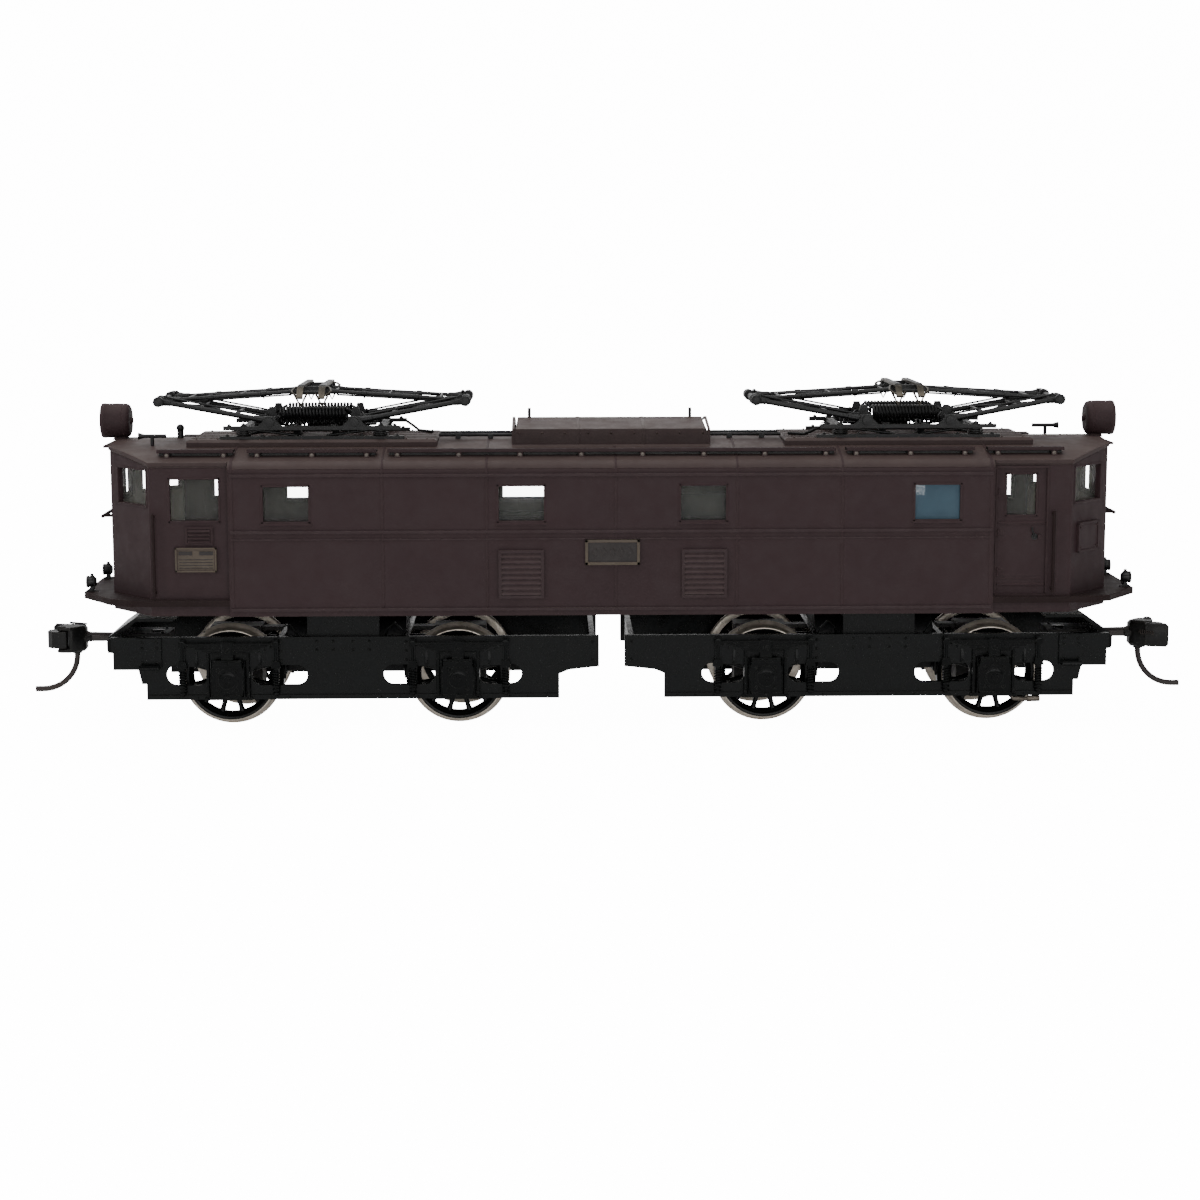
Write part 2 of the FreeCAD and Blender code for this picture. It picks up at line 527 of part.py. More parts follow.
# ---------------------------------------------------------------- pantographs
def panto_parts():
    """The +X pantograph, folded: arms, head, base and insulators."""
    cx, foot, knee, crown = D["panto_x"], D["foot_x"], D["knee_x"], D["crown_x"]
    rad = D["tube_rad"]

    def lower(s):
        """One lower arm: the foot shaft, two tapering legs, a diagonal and the knee shaft."""
        fx, kx, fz, kz = cx + s * foot, cx + s * knee, D["foot_z"], D["knee_z"]
        legs = [strut((fx, t * 6.4, fz), (kx, t * 6.0, kz), rad, "leg") for t in (1, -1)]
        web = [strut((fx + s * 5.6, -6.25, fz + 1.03), (fx + s * 14.6, 6.05, fz + 2.68), 0.2, "diagonal"),
               strut((fx + s * 5.6, -6.25, fz + 1.03), (fx + s * 5.6, 6.25, fz + 1.03), 0.25, "cross_stay")]
        return fuse([rod("y", (fx, -8.7, fz), 17.4, 0.45, "foot_shaft"),
                     rod("y", (kx, -8.2, kz), 16.4, 0.42, "knee_shaft")] + legs + web, "lower_arm")

    def upper(s, sleeved):
        """One upper arm: eyes on the knee shaft, two slim tubes and eyes at the crown."""
        kx, hx, kz, hz = cx + s * knee, cx + s * crown, D["knee_z"], D["crown_z"]
        tubes = [strut((kx, t * 4.9, kz), (hx, t * 4.1, hz), 0.3, "tube") for t in (1, -1)]
        eyes = [rod("y", (kx, t * 4.9 - 0.5, kz), 1.0, 0.85, "knee_eye") for t in (1, -1)]
        rings = [rod("y", (hx, t * 4.1 - 0.35, hz), 0.7, 0.61, "crown_eye") for t in (1, -1)]
        web = [strut((kx - s * 4.0, -4.75, kz + 0.26), (kx - s * 17.6, 4.25, kz + 1.14), 0.18, "diagonal"),
               strut((kx - s * 4.0, -4.75, kz + 0.26), (kx - s * 4.0, 4.75, kz + 0.26), 0.22, "cross_stay")]
        bores = [rod("y", (kx, -7, kz), 14, 0.42 + 0.07, "knee_bore")]
        if sleeved:
            bores.append(rod("y", (hx, -7, hz), 14, 0.35 + 0.06, "crown_bore"))
        return cut(fuse(tubes + eyes + rings + web, "upper_raw"), bores, "upper_arm")

    def head():
        """The collector head: carriers, crown shafts and two shoes with down-turned horns."""
        pieces = [rod("y", (cx + crown, -5.9, D["crown_z"]), 11.8, 0.35, "crown_shaft")]
        for t in (1, -1):
            pieces.append(box((cx - 2.3, cx + 2.3), between(t, 5.2, 5.7), (D["crown_z"] - 0.45, D["shoe_z"] + 0.1),
                              name="carrier"))
            pieces.append(rod("y", (cx - crown, t * 5.2 - (0.5 if t > 0 else 0.0), D["crown_z"]), 0.5, 0.35,
                              "crown_stub"))
        for s in (1, -1):
            x = cx + s * crown
            pieces.append(slab("x", [(-10.0, 50.4), (-9.75, 50.2), (-7.5, D["shoe_z"]), (7.5, D["shoe_z"]),
                                     (9.75, 50.2), (10.0, 50.4), (7.7, D["shoe_z"] + 0.4),
                                     (-7.7, D["shoe_z"] + 0.4)], x - 0.45, x + 0.45, "shoe"))
        return fuse(pieces, "panto_head")

    def base():
        """The base frame carried by the insulators, with the bearings of the foot shafts."""
        bars = [box((cx - 13.5, cx + 13.5), between(t, 7.6, 8.4), (45.4, 46.0), name="long_bar") for t in (1, -1)]
        bars += [box((cx + s * x - 0.5, cx + s * x + 0.5), (-7.7, 7.7), (45.4, 45.9), name="cross_bar")
                 for s in (1, -1) for x in (3.0, 10.4)]
        ears = [box((cx + s * foot - 0.9, cx + s * foot + 0.9), between(t, 7.6, 8.4), (45.9, 47.45), name="ear")
                for s in (1, -1) for t in (1, -1)]
        bores = [rod("y", (cx + s * foot, -9, D["foot_z"]), 18, 0.52, "ear_bore") for s in (1, -1)]
        return cut(fuse(bars + ears, "base_raw"), bores, "panto_base")

    def rail(t):
        return box((cx - 14.0, cx + 14.0), between(t, 7.4, 8.6), (44.0, 44.5), name="mounting_rail")

    def insulator(s, t):
        x, y = cx + s * 10.4, t * 8.0
        rings = [rod("z", (x, y, 44.5 + z), 0.2, 1.05, "shed") for z in (0.0, 0.34, 0.68)]
        return fuse([rod("z", (x, y, 44.5), 0.9, 0.6, "core")] + rings, "insulator")

    return (lower(1), lower(-1), upper(1, True), upper(-1, False), head(), [base(), rail(1), rail(-1)],
            [insulator(s, t) for s in (1, -1) for t in (1, -1)])


*arms, base_frame, feet = panto_parts()
ARM_NAMES = ("lower_outer", "lower_inner", "upper_outer", "upper_inner", "head")
for arm_name, arm in zip(ARM_NAMES, arms):
    node(f"panto_front_{arm_name}", arm)
    node(f"panto_rear_{arm_name}", turned(arm, f"rear_{arm_name}"))
node("panto_bases", group(base_frame + [turned(b, "rear_base") for b in base_frame], "base_pair"))
node("panto_insulators", group(feet + [turned(f, "rear_insulator") for f in feet], "insulator_set"))


# ---------------------------------------------------------------- bogies
def slot(x0, x1, z0, z1, y0, y1):
    """A round-ended slot through a side plate."""
    mid, rad = (z0 + z1) / 2, (z1 - z0) / 2
    return fuse([box((x0 + rad, x1 - rad), (y0, y1), (z0, z1), name="slot_middle")]
                + [rod("y", (x, y0, mid), y1 - y0, rad, "slot_end") for x in (x0 + rad, x1 - rad)], "slot")


FRAME = [(1.95, 14.2), (1.95, 9.4), (4.4, 9.15), (6.6, 8.9), (8.05, 8.3), (8.05, 4.55), (71.0, 4.55),
         (71.0, 7.0), (71.7, 7.0), (72.2, 9.2), (76.0, 9.2), (76.0, 11.8), (76.3, 11.8), (76.3, 14.2)]
FRAME = [(x, D["frame_top"] if z == 14.2 else D["frame_low"] if z == 4.55 else z) for x, z in FRAME]
plate = slab("y", FRAME, D["frame_in"], D["frame_out"], "side_plate")
gaps = [slot(x0, x1, 6.76, 9.86, 11, 13) for x0, x1 in ((13.8, 20.4), (27.0, 34.9), (46.5, 55.0), (61.6, 68.0))]
bearings = [rod("y", (x, 11, D["axle_z"]), 3, D["journal_rad"] + D["run_gap"], "journal_hole")
            for x in (axle_in, axle_out)]
side = cut(plate, gaps + bearings, "bogie_side")
side_pair = group([side, across(side, "bogie_side_far")], "bogie_side_pair")


def running_gear(x):
    """Axlebox, pedestal plate, leaf spring and hangers of one axle end."""
    out = D["frame_out"]
    block = box((x - 2.2, x + 2.2), (out, out + 1.7), (5.3, 10.9), name="axlebox")
    lid = rod("y", (x, out + 1.5, D["axle_z"]), 0.5, 1.3, "axlebox_lid")
    guard = box((x - 7.0, x + 7.0), (out, out + 0.35), (9.7, 12.8), name="pedestal")
    leaves = [box((x - 7.4 + 0.9 * i, x + 7.0 - 0.9 * i), (out, out + 1.1), (13.0 - 0.4 * i, 13.4 - 0.4 * i),
                  name="leaf") for i in range(3)]
    buckle = box((x - 0.9, x + 0.9), (out, out + 1.4), (10.6, 13.6), name="buckle")
    hangers = [box((x + c - 0.4, x + c + 0.4), (out, out + 0.8), (5.9, 13.9), name="hanger") for c in (-7.3, 6.9)]
    bore = rod("y", (x, 11, D["axle_z"]), D["journal_end"] - 11 + 0.15, D["journal_rad"] + D["run_gap"], "bore")
    return cut(fuse([block, lid, guard, buckle] + leaves + hangers, "gear_raw"), [bore], "running_gear")


out = D["frame_out"]
step = fuse([box((68.6, 72.2), (out, out + 0.4), (9.4, 14.1), name="step_plate"),
             box((69.0, 71.8), (out, out + 1.6), (9.4, 9.8), name="step_tread")], "step")
rail = box((8.3, 70.8), (out, out + 0.3), (4.6, 5.3), name="lower_rail")
outside = [running_gear(axle_in), running_gear(axle_out), step, rail]
gear_pair = group(outside + [across(part, "far_gear") for part in outside], "running_gear_set")

axle_hole = D["shaft_rad"] + 0.5
bridge = cut(fuse([box((35.5, 46.5), (-11.5, 11.5), (D["bolster_low"], D["bolster_high"]), name="bolster"),
                   box((35.5, 46.5), (10.7, 11.5), (11.5, 17.0), name="bolster_leg"),
                   box((35.5, 46.5), (-11.5, -10.7), (11.5, 17.0), name="bolster_leg")], "bolster_raw"),
             [rod("z", (D["bogie_x"], 0, 16), 3, D["kingpin_rad"] + D["run_gap"], "pivot_hole")], "bolster")
transoms = [cut(fuse([box((x, x + 0.8), (-11.5, 11.5), (11.3, 14.0), name="transom_beam"),
                      box((x, x + 0.8), (-6.5, 6.5), (7.5, 11.4), name="transom_web")], "transom_raw"),
                [rod("x", (x - 1, 0, D["worm_z"]), 3, axle_hole, "shaft_hole")], "transom")
            for x in (31.0, 50.2)]
tail = box((2.6, 3.4), (-11.5, 11.5), (9.8, 13.9), name="tail_beam")
apron = slab("y", [(67.2, 16.1), (73.0, 16.1), (75.2, 14.3), (75.2, 9.7), (76.0, 9.7), (76.0, 14.0),
                   (76.9, 13.3), (77.3, 13.75), (73.2, 16.6), (67.2, 16.6)], -9.0, 9.0, "apron")
wings = [box((75.2, 76.0), between(t, 8.9, 11.5), (9.7, 14.0), name="headstock_wing") for t in (1, -1)]
mouth = box((74, 78), (-3.2, 3.2), (11.0, 13.3), name="coupler_mouth")
headstock = cut(fuse([apron] + wings, "headstock_raw"), [mouth], "headstock")
frame_set = group([bridge] + transoms + [tail, headstock], "transom_set")

cases = []
for x, s in ((axle_in, 1), (axle_out, -1)):
    z, worm = D["axle_z"], D["worm_z"]
    block = box((x - 4.0, x + 4.0), (-2.6, 2.6), (4.6, 14.3), name="gearcase_block")
    arm = box((x + (3.9 if s > 0 else -7.5), x + (7.5 if s > 0 else -3.9)), (-1.2, 1.2), (13.4, 14.0),
              name="torque_arm")
    hollows = [rod("y", (x, -1.0, z), 2.0, 3.0, "wheel_room"),
               rod("x", (x - 3.4, 0, worm), 6.8, 2.15, "worm_room"),
               rod("y", (x, -4, z), 8, D["axle_rad"] + D["run_gap"], "axle_bore"),
               rod("x", (x - 5, 0, worm), 10, D["shaft_rad"] + D["run_gap"], "shaft_bore")]
    cases.append(cut(fuse([block, arm], "gearcase_raw"), hollows, "gearcase"))
case_pair = group(cases, "gearcase_pair")

can = common([rod("x", (31.8, 0, D["worm_z"]), 18.4, 6.2, "motor_round"),
              box((31.8, 50.2), (-6.5, 6.5), (D["worm_z"] - 4.3, D["worm_z"] + 4.3), name="motor_flats")], "motor_can")
motor = cut(can, [rod("x", (32.8, 0, D["worm_z"]), 16.4, 3.6, "motor_room"),
                  rod("x", (31, 0, D["worm_z"]), 20, D["shaft_rad"] + D["run_gap"], "motor_bush")], "motor")

pocket = [box((69.5, 77.2), (-2.6, 2.6), (11.5, 13.0), name="draft_room")]
draft = fuse([cut(box((68.9, 76.9), (-3.2, 3.2), (11.0, 13.3), name="draft_block"), pocket, "draft_box"),
              rod("z", (D["coupler_x"], 0, 11.2), 2.0, 0.65, "draft_post")], "coupler_box")

for label, source in (("side_frames", side_pair), ("running_gear", gear_pair), ("transoms", frame_set),
                      ("gearcases", case_pair), ("motor", motor), ("coupler_box", draft)):
    node(f"bogie_front_{label}", source)
    node(f"bogie_rear_{label}", turned(source, f"rear_{label}"))


# ---------------------------------------------------------------- drive
def worm_thread(x):
    """A right-hand single-start thread along X, centred on x, lying between the wheel's teeth."""
    pitch = math.pi * GEAR_MODULE
    core, tip = DIMENSIONS["worm_core"] - 0.1, DIMENSIONS["worm_tip"]
    helix = Part.makeHelix(pitch, WORM_TURNS * pitch, core)
    low, high = 0.33, 0.12
    corners = [V(core, 0, -low), V(tip, 0, -high), V(tip, 0, high), V(core, 0, low), V(core, 0, -low)]
    thread = Part.Wire(helix).makePipeShell([Part.makePolygon(corners)], True, True)
    thread.Placement = FreeCAD.Placement(V(x - WORM_TURNS * pitch / 2, 0, DIMENSIONS["worm_z"]),
                                         ROT(V(1, 1, 1), 120))
    obj = doc.addObject("Part::Feature", "worm_thread")
    obj.Shape = thread
    return obj


shaft = [rod("x", (axle_in - 4.2, 0, D["worm_z"]), D["wheelbase"] + 8.4, D["shaft_rad"], "shaft"),
         rod("x", (34.0, 0, D["worm_z"]), 14.0, 3.2, "armature")]
for x in (axle_in, axle_out):
    shaft.append(rod("x", (x - D["worm_half"], 0, D["worm_z"]), D["worm_half"] * 2, D["worm_core"], "worm"))
    shaft.append(worm_thread(x.value))
rotor = fuse(shaft, "rotor")
node("rotor_front", rotor)
node("rotor_rear", turned(rotor, "rear_rotor"))

teeth = []
for i in range(GEAR_TEETH):
    angle = 360.0 / GEAR_TEETH * i
    tooth = slab("y", [(-0.31, 1.7), (0.31, 1.7), (0.13, D["gear_tip"]), (-0.13, D["gear_tip"])],
                 -D["gear_half"], D["gear_half"], "tooth")
    tooth.Placement.Rotation = ROT(V(0, 1, 0), angle)
    teeth.append(tooth)
worm_wheel = cut(fuse([rod("y", (0, -D["gear_half"], 0), D["gear_half"] * 2, D["gear_root"], "gear_blank")]
                      + teeth, "gear_raw"),
                 [rod("y", (0, -2, 0), 4, D["axle_rad"] + 0.01, "gear_bore")], "worm_wheel")
end = D["journal_end"]
axle = fuse([rod("y", (0, -D["wheel_face"], 0), D["wheel_face"] * 2, D["axle_rad"], "axle_bar"),
             rod("y", (0, -end, 0), end * 2, D["journal_rad"], "journals")], "axle")
axle_set = group([axle, worm_wheel], "axle_set")

back, face = D["wheel_back"], D["wheel_face"]
tyre = spun([(back, D["tyre_bore"]), (back, D["flange_rad"] - 0.3), (back + 0.2, D["flange_rad"]),
             (back + 0.5, D["flange_rad"]), (back + 0.8, D["tread_rad"] + 0.12), (face - 0.2, D["tread_rad"] - 0.05),
             (face, D["tread_rad"] - 0.2), (face, D["tyre_bore"])], "tyre")
rim = cut(rod("y", (0, back + 0.5, 0), face - back - 0.8, D["tyre_bore"] - 0.02, "rim_disc"),
          [rod("y", (0, back, 0), 4, D["tyre_bore"] - 0.4, "rim_hole")], "rim")
spokes = []
for i in range(SPOKES):
    spoke = slab("y", [(-0.5, 1.6), (0.5, 1.6), (0.34, 6.0), (-0.34, 6.0)], back + 0.9, face - 0.7, "spoke")
    spoke.Placement.Rotation = ROT(V(0, 1, 0), 360.0 / SPOKES * (i + 0.5))
    spokes.append(spoke)
centre = cut(fuse([rim, rod("y", (0, back, 0), face - back + 0.15, D["hub_rad"], "hub")] + spokes, "centre_raw"),
             [rod("y", (0, back - 1, 0), 6, D["axle_rad"] + 0.01, "wheel_bore")], "wheel_centre")
wheel_pair = group([tyre, centre, across(tyre, "tyre_far"), across(centre, "centre_far")], "wheel_pair")
for i, x in enumerate((axle_out, axle_in, -axle_in, -axle_out), 1):
    node(f"axle_{i}", drive(group([axle_set], f"axle_at_{i}"), at=(x, 0, D["axle_z"])))
    node(f"wheels_{i}", drive(group([wheel_pair], f"wheels_at_{i}"), at=(x, 0, D["axle_z"])))

# ---------------------------------------------------------------- couplers
z = D["coupler_z"]
px, py = D["knuckle_x"], D["knuckle_y"]
ring = rod("z", (D["coupler_x"], 0, z - 0.5), 1.0, 1.2, "shank_ring")
shank = box((71.8, 82.6), (-0.8, 0.8), (z - 0.5, z + 0.5), name="shank")
skull = slab("z", [(82.2, -1.0), (83.5, -1.9), (85.4, -2.9), (87.9, -3.3), (87.9, -2.3), (86.4, -1.3),
                   (85.5, -0.5), (85.2, 1.0), (86.5, 1.6), (86.4, 2.7), (84.6, 2.7), (83.2, 1.8), (82.2, 1.0)],
             10.2, 14.2, "skull")
jaw = box((84.55, 89), (0.6, 4), (10.85, 13.65), name="jaw_slot")
pin = rod("z", (px, py, 10.5), 3.4, 0.35, "knuckle_pin")
bend = drive(doc.addObject("Part::Torus", "trip_bend"), Radius1=5.5, Radius2=0.38, at=(89.3, 0, 9.6))
bend.Angle3 = 90
bend.Placement.Rotation = ROT(V(1, 0, 0), 90).multiply(ROT(V(0, 0, 1), 180))
trip = fuse([rod("z", (83.8, 0, 9.6), 1.2, 0.38, "trip_top"), bend, rod("x", (89.3, 0, 4.1), 1.2, 0.38, "trip_foot")],
            "trip_pin")
head_piece = fuse([cut(fuse([shank, skull, ring], "coupler_raw"),
                       [jaw, rod("z", (D["coupler_x"], 0, 10), 5, 0.72, "shank_bore")], "coupler_cast"), pin, trip],
                  "coupler")
node("coupler_front", head_piece)
node("coupler_rear", turned(head_piece, "rear_coupler"))
knuckle = cut(slab("z", [(84.95, 1.35), (86.5, 0.95), (86.6, 0.1), (87.5, -0.15), (88.0, 0.3), (88.0, 1.7),
                         (87.2, 2.6), (85.9, 2.85), (84.95, 2.6)], 10.95, 13.55, "knuckle_block"),
              [rod("z", (px, py, 10), 5, 0.43, "knuckle_bore")], "knuckle")
node("knuckle_front", knuckle)
node("knuckle_rear", turned(knuckle, "rear_knuckle"))

# ---------------------------------------------------------------- checks and export
doc.recompute()
for obj in doc.Objects:
    bad = [state for state in obj.State if state in ("Invalid", "Error")]
    if bad:
        raise RuntimeError(f"{obj.Name} ({obj.Label}): {bad}")
for obj in nodes:
    shape = obj.Shape
    if shape.isNull() or not shape.isValid() or not shape.Solids:
        raise RuntimeError(f"{obj.Label}: shape is null, invalid or has no solid")
for obj in nodes:
    solids = obj.Shape.Solids
    shape = solids[0] if len(solids) == 1 else Part.makeCompound(solids)
    shape.exportStep(f"parts/{obj.Label}.step")
    box_ = obj.Shape.BoundBox
    print(f"{obj.Label:32s} solids {len(solids):3d} volume {obj.Shape.Volume:9.2f}  "
          f"X {box_.XMin:7.2f} {box_.XMax:7.2f}  Y {box_.YMin:7.2f} {box_.YMax:7.2f}  "
          f"Z {box_.ZMin:6.2f} {box_.ZMax:6.2f}")
print(len(nodes), "nodes")
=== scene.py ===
"""Looks of the model electric locomotive: materials, detailed pieces, studio and camera."""
import bpy
import bmesh
import math
from mathutils import Matrix, Vector


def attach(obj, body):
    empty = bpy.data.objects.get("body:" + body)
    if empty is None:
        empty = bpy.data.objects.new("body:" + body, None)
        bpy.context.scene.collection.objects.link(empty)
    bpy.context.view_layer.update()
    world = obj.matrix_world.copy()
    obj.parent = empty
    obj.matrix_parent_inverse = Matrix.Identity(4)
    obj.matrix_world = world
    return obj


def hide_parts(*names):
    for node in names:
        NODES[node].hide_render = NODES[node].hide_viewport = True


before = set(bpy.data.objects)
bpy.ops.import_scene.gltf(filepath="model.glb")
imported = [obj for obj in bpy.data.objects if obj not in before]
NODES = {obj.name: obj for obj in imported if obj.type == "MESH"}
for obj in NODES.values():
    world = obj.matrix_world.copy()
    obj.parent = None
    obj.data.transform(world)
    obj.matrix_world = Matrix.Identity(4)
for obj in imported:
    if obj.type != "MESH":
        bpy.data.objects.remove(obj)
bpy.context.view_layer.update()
MM = 0.001


# ---------------------------------------------------------------- materials
def shade(name):
    """A new node material with its principled shader."""
    material = bpy.data.materials.new(name)
    material.use_nodes = True
    tree = material.node_tree
    return material, tree, tree.nodes["Principled BSDF"]


def feed(tree, socket, value):
    """Give an input a link or a plain value."""
    if hasattr(value, "is_linked"):
        tree.links.new(value, socket)
    else:
        socket.default_value = value


def calc(tree, kind, operation, *values):
    """The outputs of a Math or VectorMath node; each value is a socket or a plain value."""
    node = tree.nodes.new("ShaderNode" + kind)
    node.operation = operation
    for socket, value in zip(node.inputs, values):
        feed(tree, socket, value)
    return node.outputs


def noise(tree, scale, detail):
    """Noise in object space; scale counts features per metre."""
    place = tree.nodes.new("ShaderNodeTexCoord")
    field = tree.nodes.new("ShaderNodeTexNoise")
    tree.links.new(place.outputs["Object"], field.inputs["Vector"])
    for socket, value in (("Scale", scale), ("Detail", detail), ("Roughness", 0.55)):
        field.inputs[socket].default_value = value
    return field.outputs["Fac"]


def ramp(tree, source, stops):
    """A colour ramp; stops are (position, colour) or (position, (grey,))."""
    node = tree.nodes.new("ShaderNodeValToRGB")
    bar = node.color_ramp.elements
    while len(bar) < len(stops):
        bar.new(0.5)
    for mark, (place, colour) in zip(bar, stops):
        mark.position = place
        mark.color = (*colour, 1) if len(colour) == 3 else (colour[0],) * 3 + (1,)
    tree.links.new(source, node.inputs["Fac"])
    return node.outputs["Color"]


def patches(tree, scale, detail, low, high):
    """Noise through a ramp between two (position, colour) stops."""
    return ramp(tree, noise(tree, scale, detail), [low, high])


def mixed(tree, factor, a, b, kind="MIX"):
    """Mix two colours; each is a socket or a plain colour."""
    node = tree.nodes.new("ShaderNodeMix")
    node.data_type, node.blend_type = "RGBA", kind
    for number, value in ((0, factor), (6, a), (7, b)):
        feed(tree, node.inputs[number], (*value, 1) if isinstance(value, tuple) else value)
    return node.outputs[2]


def soft_edges(tree, radius):
    """The surface normal with its edges rounded over, and a mask of those edges."""
    bevel = tree.nodes.new("ShaderNodeBevel")
    bevel.samples = 4
    bevel.inputs["Radius"].default_value = radius
    shape = tree.nodes.new("ShaderNodeNewGeometry")
    rounded = bevel.outputs["Normal"]
    flatness = calc(tree, "VectorMath", "DOT_PRODUCT", rounded, shape.outputs["Normal"])["Value"]
    return rounded, ramp(tree, flatness, [(0.86, (1.0,)), (0.985, (0.0,))])


def facing_up(tree):
    """How far the surface looks upwards, 0 to 1."""
    shape = tree.nodes.new("ShaderNodeNewGeometry")
    split = tree.nodes.new("ShaderNodeSeparateXYZ")
    tree.links.new(shape.outputs["Normal"], split.inputs["Vector"])
    return split.outputs["Z"]


def bumps(tree, shader, layers, normal=None):
    """Stack bump layers; each is (height socket, strength, distance in metres)."""
    for height, strength, distance in layers:
        node = tree.nodes.new("ShaderNodeBump")
        node.inputs["Strength"].default_value = strength
        node.inputs["Distance"].default_value = distance
        tree.links.new(height, node.inputs["Height"])
        if normal is not None:
            tree.links.new(normal, node.inputs["Normal"])
        normal = node.outputs["Normal"]
    tree.links.new(normal, shader.inputs["Normal"])


def paint(name, base, tone, worn_and_highlit, rough=(0.5, 0.65), grain=0.2, level=0.4, edge=0.00009, dust_and_top_light=0.0):
    """Sprayed or brushed paint: faint clouds, fine grain and orange peel. Upward faces and edges are mixed
    towards a paler colour, which gives dusty tops and rubbed edges and also a painted highlight on tops and
    edges.
    """
    material, tree, shader = shade(name)
    cloud = patches(tree, 110, 5, (0.3, base), (0.72, tone))
    speck = patches(tree, 6500, 2, (0.3, (0.8,)), (0.62, (1.0,)))
    colour = mixed(tree, 0.55, cloud, speck, "MULTIPLY")
    if dust_and_top_light:
        # upward faces are mixed towards the pale colour: dusty tops, plus a painted highlight where light
        # falls on them
        dusty_lit_tops = ramp(tree, facing_up(tree), [(0.35, (0.0,)), (0.95, (dust_and_top_light,))])
        patch = patches(tree, 240, 4, (0.3, (0.55,)), (0.7, (1.0,)))
        colour = mixed(tree, mixed(tree, 1.0, dusty_lit_tops, patch, "MULTIPLY"), colour, worn_and_highlit)
    normal, rim = soft_edges(tree, edge)
    # edges are mixed towards the pale colour in patches: rubbed paint, plus a painted highlight along the
    # edges
    chips_and_glints = patches(tree, 1300, 3, (0.38, (0.1,)), (0.68, (0.75,)))
    colour = mixed(tree, mixed(tree, 1.0, rim, chips_and_glints, "MULTIPLY"), colour, worn_and_highlit)
    tree.links.new(colour, shader.inputs["Base Color"])
    gloss = patches(tree, 420, 5, (0.3, (rough[0],)), (0.72, (rough[1],)))
    tree.links.new(gloss, shader.inputs["Roughness"])
    shader.inputs["Specular IOR Level"].default_value = level
    bumps(tree, shader, [(noise(tree, 3800, 3), grain, 0.00004),
                         (noise(tree, 600, 4), grain * 0.5, 0.00008)], normal)
    return material


def metal(name, base, tone, rough, grime=0.35, bump=0.2, pure=1.0):
    """Bare metal with fine tool marks and a little darker tarnish."""
    material, tree, shader = shade(name)
    shader.inputs["Metallic"].default_value = pure
    tarnish = patches(tree, 700, 6, (0.35, base), (0.75, tone))
    dirt = patches(tree, 260, 5, (0.4, (1.0,)), (0.8, (1.0 - grime,)))
    tree.links.new(mixed(tree, 1.0, tarnish, dirt, "MULTIPLY"), shader.inputs["Base Color"])
    gloss = patches(tree, 1500, 4, (0.3, (rough[0],)), (0.7, (rough[1],)))
    tree.links.new(gloss, shader.inputs["Roughness"])
    normal, _ = soft_edges(tree, 0.00006)
    bumps(tree, shader, [(noise(tree, 3600, 2), bump, 0.00003)], normal)
    return material


def sheet(name, tint, deep, alpha, rough):
    """Clear or tinted sheet, slightly smeared, with a paler cut edge."""
    material, tree, shader = shade(name)
    smear = patches(tree, 320, 3, (0.3, tint), (0.75, deep))
    _, rim = soft_edges(tree, 0.00018)
    cut_edge = tuple(min(1.0, 1.6 * c) for c in tint)
    tree.links.new(mixed(tree, rim, smear, cut_edge), shader.inputs["Base Color"])
    tree.links.new(patches(tree, 200, 4, (0.4, (rough,)), (0.8, (rough + 0.12,))), shader.inputs["Roughness"])
    shader.inputs["Alpha"].default_value = alpha
    bumps(tree, shader, [(noise(tree, 90, 2), 0.1, 0.0003)])
    return material


BROWN = paint("body_brown", (0.0275, 0.0145, 0.0162), (0.0310, 0.0167, 0.0182), (0.085, 0.055, 0.052),
              (0.58, 0.72), 0.16, level=0.22, dust_and_top_light=0.3)
# a lighter copy of the body brown for the roof and the parts on it: painted light on surfaces that face up
ROOF_LIT = paint("roof_brown_lit", (0.034, 0.0205, 0.0200), (0.041, 0.0252, 0.0240), (0.10, 0.070, 0.062),
             (0.52, 0.68), 0.2, level=0.25, dust_and_top_light=0.5)
GLOSS = paint("bogie_gloss_black", (0.0016, 0.0021, 0.0021), (0.0030, 0.0036, 0.0036),
              (0.009, 0.0095, 0.0095), (0.22, 0.34), 0.35, level=0.16, edge=0.00007)
BLACK = paint("satin_black", (0.0024, 0.0024, 0.0027), (0.005, 0.005, 0.0053), (0.05, 0.046, 0.043),
              (0.35, 0.5), 0.25, level=0.35, edge=0.00005)
MATT = paint("matt_black", (0.0035, 0.0031, 0.0031), (0.0075, 0.0063, 0.006), (0.03, 0.023, 0.02), (0.5, 0.7),
             0.25, level=0.3, edge=0.00008)
UNDER = paint("floor_black", (0.004, 0.004, 0.004), (0.008, 0.008, 0.008), (0.03, 0.03, 0.03), (0.45, 0.6))
BRONZE = paint("plate_bronze", (0.075, 0.056, 0.036), (0.042, 0.03, 0.021), (0.16, 0.12, 0.08),
               (0.4, 0.6), 0.4)
FIELD = paint("plate_field", (0.011, 0.008, 0.008), (0.02, 0.014, 0.012), (0.05, 0.038, 0.03),
              (0.5, 0.65), 0.4)
BOLT = paint("bolt_head", (0.10, 0.085, 0.075), (0.16, 0.135, 0.115), (0.3, 0.26, 0.22), (0.35, 0.5), 0.2)
NICKEL = metal("nickel_tyre", (0.60, 0.545, 0.47), (0.42, 0.37, 0.31), (0.26, 0.4), pure=0.7)
SHOE = metal("shoe_metal", (0.10, 0.088, 0.07), (0.05, 0.043, 0.035), (0.3, 0.48))
BRASS = metal("bare_brass", (0.4, 0.27, 0.12), (0.24, 0.16, 0.07), (0.28, 0.42))
STEEL = metal("turned_steel", (0.34, 0.34, 0.34), (0.2, 0.2, 0.19), (0.25, 0.4))
LEAD = metal("cast_ballast", (0.035, 0.037, 0.04), (0.03, 0.031, 0.034), (0.6, 0.75), grime=0.1, bump=0.04)
